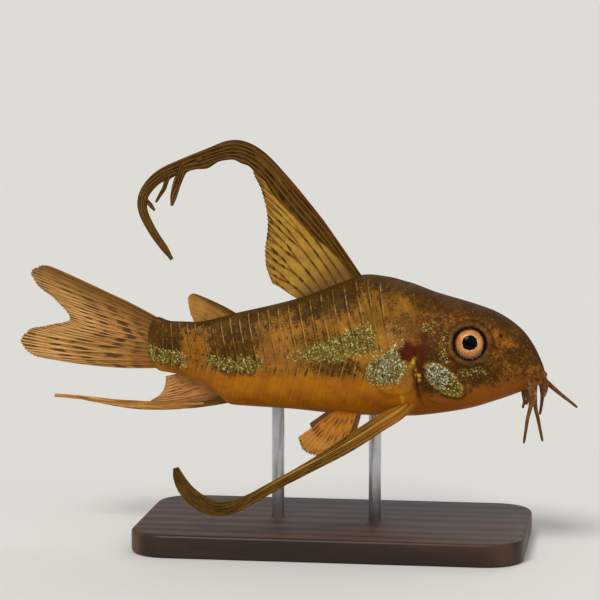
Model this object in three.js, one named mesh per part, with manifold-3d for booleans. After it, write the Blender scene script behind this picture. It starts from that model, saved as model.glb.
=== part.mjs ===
// A long-finned peppered corydoras catfish, life size, held over a flat base by two short rods.
// Millimetres. +X runs towards the head, +Y to the fish's left and +Z up, from the middle of the
// base's underside.
import * as THREE from "three";
import { mergeVertices } from "three/addons/utils/BufferGeometryUtils.js";
import Module from "manifold-3d";

const wasm = await Module();
wasm.setup();

// Driving dimensions. The fish's own z = 0 is the level of its belly.
const bellyHeight = 16.8; // belly above the floor
const snoutX = 27.05;
const tailBaseX = -23.6; // end of the flesh, where the tail fin starts
const gap = 0.3; // clearance between neighbouring nodes
const finThickness = 0.5;
const weldDistance = 1e-4;
const roundness = { upper: 2.05, lower: 2.6 }; // of the body's section; 2 is an ellipse
const plate = {
  count: 23,
  firstX: -22.6,
  rearPitch: 1.02,
  frontPitch: 1.66,
  pitchGrowsOver: 31,
  height: 0.24,
  step: 0.07,
  seamShare: 0.47, // height of the seam between the two rows, as a share of the body's
  lean: 1.5, // how far each plate's edge leans forward at the seam
  leanSpread: 0.2,
};
const eye = { x: 17.7, z: 10.1, radius: 2.05, depth: 0.76, sunk: 0.72, rimOut: 0.36, rimSize: 0.28 };
const base = { length: 50, width: 27, thickness: 3, corner: 5, bevel: 0.5 };
const rod = { radius: 0.8, frontX: 5.2, rearX: -7.4 };
const gillArc = { x: 36.8, z: 8, radius: 25.8, sides: 128 }; // rear edge of the gill cover
const cutWidth = 40; // more than the fish is wide
const tailCutX = -12.05;

// A curve through [x, value] pairs, x rising, that never overshoots them.
function profile(...pairs) {
  const secant = pairs.slice(1).map((p, i) => (p[1] - pairs[i][1]) / (p[0] - pairs[i][0]));
  const slope = pairs.map((p, i) => {
    if (i === 0) return secant[0];
    if (i === pairs.length - 1) return secant[i - 1];
    const [before, after] = [secant[i - 1], secant[i]];
    return before * after <= 0 ? 0 : (2 * before * after) / (before + after);
  });
  return (x) => {
    const inside = THREE.MathUtils.clamp(x, pairs[0][0], pairs[pairs.length - 1][0]);
    const i = Math.max(0, pairs.findIndex((p) => p[0] >= inside) - 1);
    const width = pairs[i + 1][0] - pairs[i][0];
    const t = (inside - pairs[i][0]) / width;
    return (
      (1 + 2 * t) * (1 - t) ** 2 * pairs[i][1] +
      t * (1 - t) ** 2 * width * slope[i] +
      t ** 2 * (3 - 2 * t) * pairs[i + 1][1] +
      t ** 2 * (t - 1) * width * slope[i + 1]
    );
  };
}

// Outlines of the fish: back and belly from the side, half width from above, and the slow bend of
// its spine.
const back = profile(
  [-23.9, 12.3], [-21.3, 11.45], [-18.8, 11.45], [-12.5, 12.85], [-4.7, 14.85], [1.3, 17.15],
  [3.7, 17.95], [6.6, 17.65], [9.4, 17.15], [12.9, 15.95], [17.9, 14.6], [20.4, 13.8],
  [22.5, 12.7], [24.3, 11.25], [25.6, 9.5], [26.4, 7.95], [26.85, 6.85], [27.05, 6.1],
);
const belly = profile(
  [-23.9, 4.95], [-20.2, 4.5], [-17.7, 3.8], [-15.5, 2.3], [-13.3, 0.85], [-9.2, 0.7],
  [-5.8, 0.6], [0, 0.2], [4, 0.05], [9.8, 0.1], [13.3, 0.5], [17.7, 1.35], [20.7, 2.35],
  [23.2, 3.3], [25.7, 4.5], [26.8, 5.45], [27.05, 6],
);
const halfWidth = profile(
  [-23.9, 1.0], [-21, 1.45], [-18, 2.15], [-12, 3.6], [-5, 5.05], [2, 6.1], [8, 6.45],
  [13, 6.1], [18, 5.15], [22, 4.05], [24.4, 3.05], [25.8, 2.15], [26.65, 1.25], [27.05, 0.1],
);
const waistShare = profile(
  [-23.9, 0.5], [-12, 0.46], [0, 0.36], [12, 0.36], [20, 0.4], [27.05, 0.45],
);
const headBend = { from: 8, rate: -0.006 };
const tailBend = { from: -5, rate: 0.003 };

function sway(x) {
  if (x > headBend.from) return headBend.rate * (x - headBend.from) ** 2;
  if (x < tailBend.from) return tailBend.rate * (x - tailBend.from) ** 2;
  return 0;
}

const power = (value, exponent) => Math.sign(value) * Math.abs(value) ** exponent;
const waist = (x) => belly(x) + (back(x) - belly(x)) * waistShare(x);

// A point of the skin at a station x and an angle round the body: 0 at the left side and a quarter
// turn at the back.
function skinPoint(x, angle, lift = 0) {
  const middle = waist(x);
  const upper = Math.sin(angle) > 0;
  const round = upper ? roundness.upper : roundness.lower;
  const y = halfWidth(x) * power(Math.cos(angle), 2 / round);
  const z = (upper ? back(x) - middle : middle - belly(x)) * power(Math.sin(angle), 2 / round);
  const reach = Math.hypot(y, z) || 1;
  const grow = 1 + lift / reach;
  return new THREE.Vector3(x, sway(x) + y * grow, middle + z * grow);
}

// Half the body's width at a height.
function sideAt(x, z) {
  const middle = waist(x);
  const upper = z > middle;
  const round = upper ? roundness.upper : roundness.lower;
  const reach = upper ? back(x) - middle : middle - belly(x);
  const share = Math.min(0.999, Math.abs(z - middle) / reach);
  return halfWidth(x) * (1 - share ** round) ** (1 / round);
}

// A spot on the flank and the way out of the skin there, for setting eyes and nostrils.
function flankSpot(x, z, side) {
  const skin = (atX, atZ) => new THREE.Vector3(atX, sway(atX) + side * sideAt(atX, atZ), atZ);
  const along = skin(x + 0.2, z).sub(skin(x - 0.2, z));
  const up = skin(x, z + 0.2).sub(skin(x, z - 0.2));
  return { point: skin(x, z), outward: along.cross(up).multiplyScalar(-side).normalize() };
}

// A shape made along +Z, turned to a direction and moved to a place.
function setOn(geometry, point, direction) {
  const up = new THREE.Vector3(0, 0, 1);
  const turn = new THREE.Quaternion().setFromUnitVectors(up, direction.clone().normalize());
  return solidOf(geometry.applyQuaternion(turn).translate(point.x, point.y, point.z));
}

// Height of the body's underside at a distance from its middle, for setting paired fins.
function undersideAt(x, across) {
  const middle = waist(x);
  const round = roundness.lower;
  return middle - (middle - belly(x)) * (1 - (across / halfWidth(x)) ** round) ** (1 / round);
}

// A root just clear of the back, +1, or of the belly, -1, whatever the slope there.
function rootPoint(x, way) {
  const edge = way > 0 ? back : belly;
  const slope = (edge(x + 0.2) - edge(x - 0.2)) / 0.4;
  return new THREE.Vector3(x, sway(x), edge(x) + way * gap * Math.hypot(1, slope));
}

// Solids from point grids.

function geometryOf(points, triangles) {
  const geometry = new THREE.BufferGeometry().setFromPoints(points);
  return geometry.setIndex(triangles);
}

function manifoldOf(places, triangles) {
  const mesh = new wasm.Mesh({ numProp: 3, vertProperties: places, triVerts: triangles });
  return new wasm.Manifold(mesh);
}

function solidOf(geometry) {
  const bare = geometry.clone();
  bare.deleteAttribute("normal");
  bare.deleteAttribute("uv");
  const merged = mergeVertices(bare, weldDistance);
  const places = new Float32Array(merged.attributes.position.array);
  const made = manifoldOf(places, new Uint32Array(merged.index.array));
  if (made.volume() >= 0) return made;
  const turned = new Uint32Array(merged.index.array);
  for (let i = 0; i < turned.length; i += 3) {
    [turned[i + 1], turned[i + 2]] = [turned[i + 2], turned[i + 1]];
  }
  return manifoldOf(places, turned);
}

// The largest piece of a solid, as a mesh.
function geometryFrom(solid) {
  const pieces = solid.decompose().sort((a, b) => b.volume() - a.volume());
  const mesh = pieces[0].getMesh();
  const places = new Float32Array(mesh.numVert * 3);
  for (let i = 0; i < mesh.numVert; i++) {
    const first = i * mesh.numProp;
    places.set(mesh.vertProperties.subarray(first, first + 3), i * 3);
  }
  return new THREE.BufferGeometry()
    .setAttribute("position", new THREE.BufferAttribute(places, 3))
    .setIndex(new THREE.BufferAttribute(mesh.triVerts, 1));
}

const moved = (geometry, x, y, z) => solidOf(geometry.clone().translate(x, y, z));

// A closed tube through rings of points, with a fan over each end.
function loft(rings) {
  const around = rings[0].length;
  const points = rings.flat();
  const triangles = [];
  for (let i = 0; i + 1 < rings.length; i++) {
    for (let j = 0; j < around; j++) {
      const next = (j + 1) % around;
      const [a, b] = [i * around + j, i * around + next];
      const [c, d] = [a + around, b + around];
      triangles.push(a, b, d, a, d, c);
    }
  }
  for (const [ring, first] of [[rings[0], 0], [rings[rings.length - 1], points.length - around]]) {
    const centre = ring.reduce((sum, p) => sum.add(p), new THREE.Vector3()).divideScalar(around);
    const hub = points.push(centre) - 1;
    for (let j = 0; j < around; j++) {
      const [a, b] = [first + j, first + ((j + 1) % around)];
      if (first === 0) triangles.push(hub, b, a);
      else triangles.push(hub, a, b);
    }
  }
  return geometryOf(points, triangles);
}

// A thin slab about a grid of middle points: rows run from root to tip, columns across.
// facing(i, j) is the way its thickness goes, and both faces are split into triangles alike.
function slab(middle, thickness, facing) {
  const [rows, columns] = [middle.length, middle[0].length];
  const points = [];
  for (const side of [0.5, -0.5]) {
    for (let i = 0; i < rows; i++) {
      for (let j = 0; j < columns; j++) {
        points.push(middle[i][j].clone().addScaledVector(facing(i, j), side * thickness(i, j)));
      }
    }
  }
  const at = (side, i, j) => side * rows * columns + i * columns + j;
  const triangles = [];
  for (let i = 0; i + 1 < rows; i++) {
    for (let j = 0; j + 1 < columns; j++) {
      for (const side of [0, 1]) {
        const [a, b] = [at(side, i, j), at(side, i, j + 1)];
        const [c, d] = [at(side, i + 1, j + 1), at(side, i + 1, j)];
        if (side === 0) triangles.push(a, b, c, a, c, d);
        else triangles.push(a, c, b, a, d, c);
      }
    }
  }
  const rim = [];
  for (let j = 0; j < columns - 1; j++) rim.push([0, j]);
  for (let i = 0; i < rows - 1; i++) rim.push([i, columns - 1]);
  for (let j = columns - 1; j > 0; j--) rim.push([rows - 1, j]);
  for (let i = rows - 1; i > 0; i--) rim.push([i, 0]);
  rim.forEach(([i, j], k) => {
    const [m, n] = rim[(k + 1) % rim.length];
    const [a, b, c, d] = [at(0, i, j), at(0, m, n), at(1, m, n), at(1, i, j)];
    triangles.push(a, d, c, a, c, b);
  });
  return geometryOf(points, triangles);
}

// The way across a grid of points, from its neighbours.
function facingOf(middle) {
  return (i, j) => {
    const [rows, columns] = [middle.length, middle[0].length];
    const along = new THREE.Vector3().subVectors(
      middle[Math.min(i + 1, rows - 1)][j], middle[Math.max(i - 1, 0)][j]);
    const across = new THREE.Vector3().subVectors(
      middle[i][Math.min(j + 1, columns - 1)], middle[i][Math.max(j - 1, 0)]);
    return along.cross(across).normalize();
  };
}

const curveThrough = (points) =>
  new THREE.CatmullRomCurve3(points.map((p) => new THREE.Vector3(...p)), false, "centripetal");

// A fin of rays: each ray is a list of points from root to tip, and a hollow of skin lies between
// neighbours.
function rayFin(rays, { crest = 0.82, tipCrest = 0.55, facing = null, notch = 0.35 }) {
  const rows = rays[0].length;
  const middle = [];
  for (let i = 0; i < rows; i++) {
    const row = [];
    rays.forEach((ray, k) => {
      row.push(ray[i].clone());
      if (k + 1 === rays.length) return;
      const hollow = ray[i].clone().lerp(rays[k + 1][i], 0.5);
      if (i === rows - 1) {
        const inner = ray[i - 1].clone().lerp(rays[k + 1][i - 1], 0.5);
        hollow.lerp(inner, Math.min(0.6, notch / Math.max(0.01, hollow.distanceTo(inner))));
      }
      row.push(hollow);
    });
    middle.push(row);
  }
  const thick = (i, j) =>
    j % 2 === 0 ? THREE.MathUtils.lerp(crest, tipCrest, i / (rows - 1)) : finThickness;
  return solidOf(slab(middle, thick, facing || facingOf(middle)));
}

const sideways = () => new THREE.Vector3(0, 1, 0);

// A ray from a root to a tip, bowed by a share of its length.
function bowedRay(root, tip, bow, steps) {
  const knee = root.clone().lerp(tip, 0.5).add(bow);
  const line = new THREE.QuadraticBezierCurve3(root, knee, tip);
  return line.getPoints(steps);
}

// A ribbon of grown-together rays along a centre line, with ridges across its width.
function ribbon(centre, width, across, { ridges = 3, steps = 14, crest = 0.8, tipCrest = 0.5 }) {
  const line = curveThrough(centre);
  const middle = [];
  for (let i = 0; i <= steps; i++) {
    const t = i / steps;
    const [point, way] = [line.getPoint(t), across(t, line.getTangent(t))];
    const row = [];
    for (let j = 0; j <= 2 * ridges; j++) {
      row.push(point.clone().addScaledVector(way, width(t) * (j / (2 * ridges) - 0.5)));
    }
    middle.push(row);
  }
  const thick = (i, j) =>
    j % 2 === 0 ? finThickness : THREE.MathUtils.lerp(crest, tipCrest, i / steps);
  return solidOf(slab(middle, thick, facingOf(middle)));
}

// The body: one skin with its rows of plates, parted afterwards by thin cuts.

const plateGrowth = (plate.frontPitch - plate.rearPitch) / plate.pitchGrowsOver;

function plateEdge(k) {
  return plate.firstX + (plate.rearPitch / plateGrowth) * (Math.exp(plateGrowth * k) - 1);
}

// Each plate's rear edge leans forward to the seam between the rows.
function chevron(x, share) {
  const { smoothstep } = THREE.MathUtils;
  const fade = smoothstep(x, -23.4, -19) * (1 - smoothstep(x, 9, 13));
  return fade * plate.lean * Math.exp(-Math.abs(share - plate.seamShare) / plate.leanSpread);
}

// Where the plates stand up: between the belly and the back, and not along the seam.
function plateCover(x, share) {
  const { smoothstep } = THREE.MathUtils;
  const low = smoothstep(share, 0.05, 0.13);
  const high = 1 - smoothstep(share, 0.93, 0.99);
  const seam = 0.15 + 0.85 * smoothstep(Math.abs(share - plate.seamShare), 0.008, 0.045);
  return low * high * seam;
}

const around = 32; // points round each ring of the body

const ringOf = (x, lift) =>
  Array.from({ length: around }, (_, j) => skinPoint(x, (j / around) * 2 * Math.PI, lift));

function bodySolid() {
  const stations = [{ x: tailBaseX, lift: 0 }, { x: tailBaseX + 0.5, lift: 0 }];
  for (let k = 0; k < plate.count; k++) {
    stations.push({ x: plateEdge(k), lift: 0 }, { x: plateEdge(k) + plate.step, lift: 1 });
  }
  stations.push({ x: plateEdge(plate.count), lift: 0 });
  const headSteps = 14;
  const headFrom = plateEdge(plate.count);
  for (let k = 1; k <= headSteps; k++) {
    const t = Math.sin((k / headSteps) * (Math.PI / 2));
    stations.push({ x: headFrom + (snoutX - headFrom - 0.02) * t, lift: 0 });
  }
  const rings = stations.map(({ x, lift }) => {
    const ring = [];
    for (let j = 0; j < around; j++) {
      const angle = (j / around) * 2 * Math.PI;
      const level = skinPoint(x, angle);
      const share = (level.z - belly(x)) / (back(x) - belly(x));
      const place = Math.min(x + chevron(x, share), snoutX);
      ring.push(skinPoint(place, angle, plate.height * lift * plateCover(x, share)));
    }
    return ring;
  });
  return solidOf(loft(rings));
}

// A smooth body grown by a lift, cut to a side outline: a raised bone plate on one flank.
function bonePlate(outline, lift, side) {
  const places = outline.map((p) => p[0]);
  const [from, to] = [Math.min(...places) - 1, Math.max(...places) + 1];
  const steps = 8;
  const rings = [];
  for (let i = 0; i <= steps; i++) rings.push(ringOf(THREE.MathUtils.lerp(from, to, i / steps), lift));
  const edge = curveThrough(outline.map(([x, z]) => [x, z, 0]));
  edge.closed = true;
  const corners = edge.getPoints(16).slice(0, -1);
  const shape = new THREE.Shape(corners.map((p) => new THREE.Vector2(p.x, p.y)));
  const depth = 9; // from the middle of the body to past its side
  const prism = new THREE.ExtrudeGeometry(shape, { depth, bevelEnabled: false });
  prism.rotateX(Math.PI / 2).translate(0, side > 0 ? depth + 0.5 : -0.5, 0);
  return solidOf(loft(rings)).intersect(solidOf(prism));
}

// Outlines seen from the side, and how far each plate stands out of the skin.
const gillCover = {
  outline: [[14, 10.8], [11.4, 9.8], [11, 6.6], [12.4, 3], [16, 2.3], [17.9, 3.6], [16.8, 6.6]],
  lift: 0.22,
};
const opercle = { x: 14.55, z: 5.5, length: 5.9, height: 2.9, tilt: -0.7, lift: 0.44 };
const shoulderPlate = {
  outline: [[8.7, 10.4], [6.9, 8], [5.6, 5.4], [6.8, 3.8], [10.4, 4], [11.3, 7], [10.4, 9.9]],
  lift: 0.3,
};

function ovalOutline({ x, z, length, height, tilt }) {
  const outline = [];
  const [cos, sin, corners] = [Math.cos(tilt), Math.sin(tilt), 10];
  for (let k = 0; k < corners; k++) {
    const angle = (k / corners) * 2 * Math.PI;
    const [along, up] = [(length / 2) * Math.cos(angle), (height / 2) * Math.sin(angle)];
    outline.push([x + along * cos - up * sin, z + along * sin + up * cos]);
  }
  return outline;
}

// Everything ahead of the rear edge of the gill covers, held back or let out by a clearance.
function headRegion(clearance) {
  const radius = gillArc.radius + clearance;
  const drum = new THREE.CylinderGeometry(radius, radius, cutWidth, gillArc.sides);
  return moved(drum, gillArc.x, 0, gillArc.z);
}

// All that lies between two stations.
function slice(fromX, toX) {
  const block = new THREE.BoxGeometry(toX - fromX, cutWidth, 60);
  return moved(block, (fromX + toX) / 2, 0, 8);
}

// The eyes: flattened balls, each in a socket with a raised rim.

function eyeBall(side, grow) {
  const { point, outward } = flankSpot(eye.x, eye.z, side);
  const ball = new THREE.SphereGeometry(eye.radius + grow, 16, 10).rotateX(Math.PI / 2);
  return setOn(ball.scale(1, 1, eye.depth), point.addScaledVector(outward, -eye.sunk), outward);
}

function eyeRim(side) {
  const { point, outward } = flankSpot(eye.x, eye.z, side);
  const rim = new THREE.TorusGeometry(eye.radius + eye.rimOut, eye.rimSize, 6, 18);
  return setOn(rim, point.addScaledVector(outward, -0.04), outward);
}

// The mouth: small lips under the snout with a cleft between them, and tube nostrils before the
// eyes.

const mouth = {
  x: 25.7,
  z: 5.7,
  halfWidth: 1.95,
  upperLip: { above: 0.12, forward: 1.0, size: 0.42 },
  lowerLip: { above: -0.72, forward: 0.4, size: 0.44 },
};

function lip({ above, forward, size }) {
  const z = mouth.z + above;
  const [cornerX, bendX] = [mouth.x - 1.7, mouth.x + forward * 0.55];
  const [cornerY, bendY] = [mouth.halfWidth, mouth.halfWidth * 0.72];
  const line = curveThrough([
    [cornerX, -cornerY, z - 0.1],
    [bendX, -bendY, z],
    [mouth.x + forward, 0, z + 0.05],
    [bendX, bendY, z],
    [cornerX, cornerY, z - 0.1],
  ]);
  const section = new THREE.Shape().absarc(0, 0, size, 0, 2 * Math.PI, false);
  const tube = new THREE.ExtrudeGeometry(section, { steps: 10, extrudePath: line, curveSegments: 3 });
  return moved(tube, 0, sway(mouth.x), 0);
}

function mouthCleft() {
  const disc = new THREE.CylinderGeometry(mouth.halfWidth + 0.25, mouth.halfWidth + 0.1, 0.34, 20);
  disc.rotateX(Math.PI / 2).scale(1.15, 1, 1);
  return moved(disc, mouth.x + 0.2, sway(mouth.x), mouth.z - 0.28);
}

const nostril = { x: 21.6, z: 11, radius: 0.6, bore: 0.3, stand: 0.4 };

function nostrilTube(side, radius, inward, stand) {
  const { point, outward } = flankSpot(nostril.x, nostril.z, side);
  const length = stand + inward;
  const tube = new THREE.CylinderGeometry(radius * 0.85, radius, length, 10).rotateX(Math.PI / 2);
  const leaning = outward.add(new THREE.Vector3(0.35, 0, 0.25));
  return setOn(tube.translate(0, 0, length / 2 - inward), point, leaning);
}

// A fleshy fold that hangs from each corner of the mouth and carries two barbels.
const mouthFold = {
  right: [[25.3, -3.2, 5.9], [25.5, -3.9, 5], [25.65, -4.35, 4.15]],
  left: [[26.0, -0.5, 5.8], [26.5, 0.15, 5.0], [26.75, 0.45, 4.1]],
  thick: 0.5,
  wideTop: 0.85,
  wideEnd: 1.0,
};

function foldSolid(route) {
  const line = curveThrough(route);
  const rings = [];
  const [steps, sides] = [5, 10];
  for (let i = 0; i <= steps; i++) {
    const point = line.getPoint(i / steps);
    const wide = THREE.MathUtils.lerp(mouthFold.wideTop, mouthFold.wideEnd, i / steps);
    rings.push(Array.from({ length: sides }, (_, j) => {
      const angle = (j / sides) * 2 * Math.PI;
      const [x, y] = [mouthFold.thick * Math.cos(angle), wide * Math.sin(angle)];
      return point.clone().add(new THREE.Vector3(x, y, 0));
    }));
  }
  return solidOf(loft(rings));
}

function headSolid(body) {
  let head = body;
  for (const side of [-1, 1]) {
    head = head.add(bonePlate(gillCover.outline, gillCover.lift, side));
    head = head.add(bonePlate(ovalOutline(opercle), opercle.lift, side));
    head = head.add(eyeRim(side)).add(nostrilTube(side, nostril.radius, 0.7, nostril.stand));
  }
  head = head.add(foldSolid(mouthFold.right)).add(foldSolid(mouthFold.left));
  head = head.add(lip(mouth.upperLip)).add(lip(mouth.lowerLip));
  head = head.subtract(mouthCleft());
  for (const side of [-1, 1]) {
    head = head.subtract(eyeBall(side, gap)).subtract(nostrilTube(side, nostril.bore, 0.25, 1));
  }
  return head;
}

// The bone shield on the nape, ahead of the dorsal spine.
const nape = { x: 6.1, halfLength: 3.4, halfWidth: 2, height: 1, sunk: 0.62 };

function napeShield() {
  const ball = new THREE.SphereGeometry(1, 18, 10);
  const shield = ball.scale(nape.halfLength, nape.halfWidth, nape.height);
  return moved(shield, nape.x, 0, back(nape.x) - nape.sunk);
}

function torsoSolid(body) {
  let torso = body.add(napeShield());
  for (const side of [-1, 1]) {
    torso = torso.add(bonePlate(shoulderPlate.outline, shoulderPlate.lift, side));
  }
  return torso;
}

// The dorsal fin: rays fan out behind a spine, and the first four run on into a long streamer.

const dorsal = { frontX: 3.4, rearX: -4.5, rays: 9, steps: 8, bowBack: 0.9, bowUp: 1.9, crest: 0.95 };
const dorsalMargin = curveThrough([
  [-11.1, 0.1, 34.7], [-10.75, 0.1, 33], [-10.8, 0.1, 31.2], [-9.9, 0, 29.5], [-9.1, 0, 27],
  [-8.8, 0, 24], [-9.1, 0, 21], [-8.9, 0, 18.6], [-8.1, 0, 16.7],
]);

function dorsalFin() {
  const rays = [];
  for (let k = 0; k < dorsal.rays; k++) {
    const t = k / (dorsal.rays - 1);
    const root = rootPoint(THREE.MathUtils.lerp(dorsal.frontX, dorsal.rearX, t), 1);
    const tip = dorsalMargin.getPoint(t);
    const bow = new THREE.Vector3(dorsal.bowBack * (1 - t), 0, dorsal.bowUp * (1 - t));
    rays.push(bowedRay(root, tip, bow, dorsal.steps));
  }
  return rayFin(rays, { facing: sideways, crest: dorsal.crest });
}

// Widths of the streamer for the share of the way along it: the arch, then the hanging tip.
const archWidth = profile(
  [0, 3.1], [0.12, 2.9], [0.32, 2.3], [0.5, 1.75], [0.75, 2.0], [1, 1.9],
);
const tipWidth = profile([0, 1.85], [0.35, 1.4], [0.8, 1.15], [1, 0.6]);
const acrossFlat = (t, tangent) => new THREE.Vector3(tangent.z, 0, -tangent.x).normalize();

function streamerArch() {
  const centre = [
    [-11.85, 0.1, 33.35], [-13.2, 0.2, 33.75], [-15.8, 0.5, 33], [-18.45, 0.9, 32.2],
    [-20.75, 1.3, 31.3], [-22.9, 1.5, 30.35], [-24.1, 1.6, 29.35],
  ];
  const arch = ribbon(centre, archWidth, acrossFlat, { ridges: 3, steps: 10 });
  const long = [
    [-18.3, 0.9, 31.9], [-19.75, 0.9, 31.3], [-20.5, 0.8, 29.8], [-21, 0.6, 28.1], [-21.3, 0.3, 26.5],
  ];
  const short = [[-20.6, 1.3, 31.1], [-21.7, 1.3, 30.4], [-22.5, 1.2, 28.6], [-23.5, 1.0, 26.9]];
  return arch
    .add(ribbon(long, (t) => 1.2 - 0.45 * t, acrossFlat, { ridges: 2, steps: 7, crest: 0.7 }))
    .add(ribbon(short, (t) => 0.95 - 0.5 * t, acrossFlat, { ridges: 1, steps: 6, crest: 0.65 }));
}

function streamerTip() {
  const centre = [
    [-24.6, 1.6, 28.85], [-25.4, 1.6, 27.35], [-25.4, 1.5, 26.05], [-24.75, 1.3, 24.4],
    [-23.5, 1.0, 22.35], [-22.3, 0.8, 20.85], [-21.4, 0.7, 19.5],
  ];
  const hook = ribbon(centre, tipWidth, acrossFlat, { ridges: 3, steps: 11 });
  const side = [[-25.1, 1.5, 27.3], [-24.5, 1.4, 26.7], [-23.7, 1.2, 25.8]];
  const strand = ribbon(side, (t) => 0.9 - 0.4 * t, acrossFlat, { ridges: 1, steps: 4, crest: 0.6 });
  return hook.add(strand);
}

// The adipose fin: a short spine with a small sail of skin behind it.
const adipose = {
  rays: 4,
  rootX: [-12.6, -18.3],
  tipX: [-18.5, -19.1],
  tipZ: [15.05, 12.4],
  bowUp: 0.35,
};

function adiposeFin() {
  const { lerp } = THREE.MathUtils;
  const rays = [];
  for (let k = 0; k < adipose.rays; k++) {
    const t = k / (adipose.rays - 1);
    const root = rootPoint(lerp(...adipose.rootX, t), 1);
    const tipX = lerp(...adipose.tipX, t);
    const tip = new THREE.Vector3(tipX, sway(tipX), lerp(...adipose.tipZ, t));
    rays.push(bowedRay(root, tip, new THREE.Vector3(0, 0, adipose.bowUp - 0.1 * k), 4));
  }
  return rayFin(rays, { facing: sideways, crest: 0.75, notch: 0.15 });
}

// The tail fin: two round lobes, notched between.
const caudal = { rays: 14, steps: 7, rootInset: [0.25, 0.2], bowUp: [0.5, -0.9], crest: 1.0 };
const caudalMargin = curveThrough([
  [-37.2, 3.0, 17.75], [-39.6, 3.7, 18.1], [-40.9, 3.9, 17.2], [-40.2, 3.7, 15.9],
  [-37.6, 3.1, 13.8], [-35.4, 2.6, 11.3], [-38.4, 2.9, 10.35], [-41.2, 3.2, 9.6],
  [-42.5, 3.3, 8.2], [-41.4, 3.1, 6.9], [-37.6, 2.6, 5.9],
]);

function caudalFin() {
  const { lerp } = THREE.MathUtils;
  const rootX = tailBaseX - gap;
  const rootTop = back(tailBaseX) - caudal.rootInset[0];
  const rootBottom = belly(tailBaseX) + caudal.rootInset[1];
  const rays = [];
  for (let k = 0; k < caudal.rays; k++) {
    const t = k / (caudal.rays - 1);
    const root = new THREE.Vector3(rootX, sway(rootX), lerp(rootTop, rootBottom, t));
    const bow = new THREE.Vector3(0, -0.2, lerp(...caudal.bowUp, t));
    rays.push(bowedRay(root, caudalMargin.getPoint(t), bow, caudal.steps));
  }
  return rayFin(rays, { facing: sideways, crest: caudal.crest });
}

// The anal fin: short rays behind a bundle that runs on into a long thread.
const anal = { rays: 7, steps: 7, rootX: [-13.4, -20], bowDown: 0.9, crest: 0.85 };
const analMargin = curveThrough([
  [-25.9, 1.4, -0.2], [-24.4, 1.2, 0.9], [-23, 1.0, 1.9], [-22.4, 0.9, 3.2], [-22.3, 0.9, 4.2],
]);

function analFin() {
  const rays = [];
  for (let k = 0; k < anal.rays; k++) {
    const t = k / (anal.rays - 1);
    const root = rootPoint(THREE.MathUtils.lerp(...anal.rootX, t), -1);
    const bow = new THREE.Vector3(0, 0, -anal.bowDown * (1 - t));
    rays.push(bowedRay(root, analMargin.getPoint(t), bow, anal.steps));
  }
  return rayFin(rays, { facing: sideways, crest: anal.crest });
}

function analThread() {
  const centre = [
    [-26.2, 1.45, 0.25], [-28.3, 1.7, 0.35], [-31.5, 2.1, 0.65], [-35, 2.7, 0.95], [-37.6, 3.1, 1.05],
  ];
  const shape = { ridges: 1, steps: 8, crest: 0.6, tipCrest: 0.45 };
  return ribbon(centre, (t) => 1.15 - 0.75 * t, acrossFlat, shape);
}

// The pectoral fins: a strong spine with folded rays behind it, drawn out into a ribbon.

const finWidth = profile([0, 1.6], [0.22, 3.5], [0.55, 3.8], [0.85, 2.8], [1, 2.3]);
const endWidth = profile([0, 2.2], [0.3, 2.0], [0.52, 1.7], [0.7, 2.1], [0.86, 1.8], [1, 0.45]);
// A droop tilts the fin's width down from level, and past turnAt of its way the streamer turns on
// edge.
const pectorals = {
  right: {
    side: -1,
    droop: 0.36,
    turnAt: 0.3,
    fin: [
      [9.3, -6.2, 1.5], [6.9, -7.4, 0.1], [3.9, -8.7, -1.8], [1.2, -9.6, -3.4],
      [-1.6, -10.4, -4.95], [-3.3, -10.75, -5.9],
    ],
    streamer: [
      [-3.75, -10.85, -6.15], [-5.3, -11.1, -7], [-7.4, -11.3, -8.2], [-9.5, -11.4, -9.4],
      [-11.3, -11.4, -10.3], [-13.2, -11.3, -10.65], [-15, -11.1, -10.3], [-16.6, -10.8, -9.4],
      [-17.8, -10.4, -8.3], [-18.6, -10, -7.1], [-19.1, -9.6, -5.9],
    ],
  },
  left: {
    side: 1,
    droop: 0.1,
    turnAt: 0.6,
    fin: [[9.3, 6.2, 1.5], [6.2, 8.2, 1.2], [2.4, 10.4, 0.9], [-2.2, 12.3, 0.8], [-5.8, 13.3, 0.8]],
    streamer: [
      [-6.25, 13.4, 0.8], [-9.6, 14.2, 0.8], [-13.2, 14.7, 0.9], [-16.4, 14.7, 1.5],
      [-18.6, 14.2, 2.7], [-19.7, 13.6, 4.2],
    ],
  },
};

function pectoralAcross({ side, droop }, turnAt) {
  const level = new THREE.Vector3(0.3, side * 0.9, -droop).normalize();
  return (t, tangent) => {
    const share = THREE.MathUtils.smoothstep(t, turnAt, turnAt + 0.35);
    return level.clone().lerp(acrossFlat(t, tangent).negate(), share).normalize();
  };
}

function pectoralFin(shape) {
  const never = 2; // past the fin's end, so it stays level
  const across = pectoralAcross(shape, never);
  return ribbon(shape.fin, finWidth, across, { ridges: 4, steps: 10, crest: 0.85, tipCrest: 0.75 });
}

function pectoralStreamer(shape) {
  const across = pectoralAcross(shape, shape.turnAt);
  return ribbon(shape.streamer, endWidth, across, { ridges: 3, steps: 14, crest: 0.75, tipCrest: 0.5 });
}

// The pelvic fins: small fans under the belly.
const pelvic = { rays: 7, steps: 6, rootX: [3.4, 1], across: 3.7, bowOut: 0.6, bowUp: 0.1 };

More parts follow.
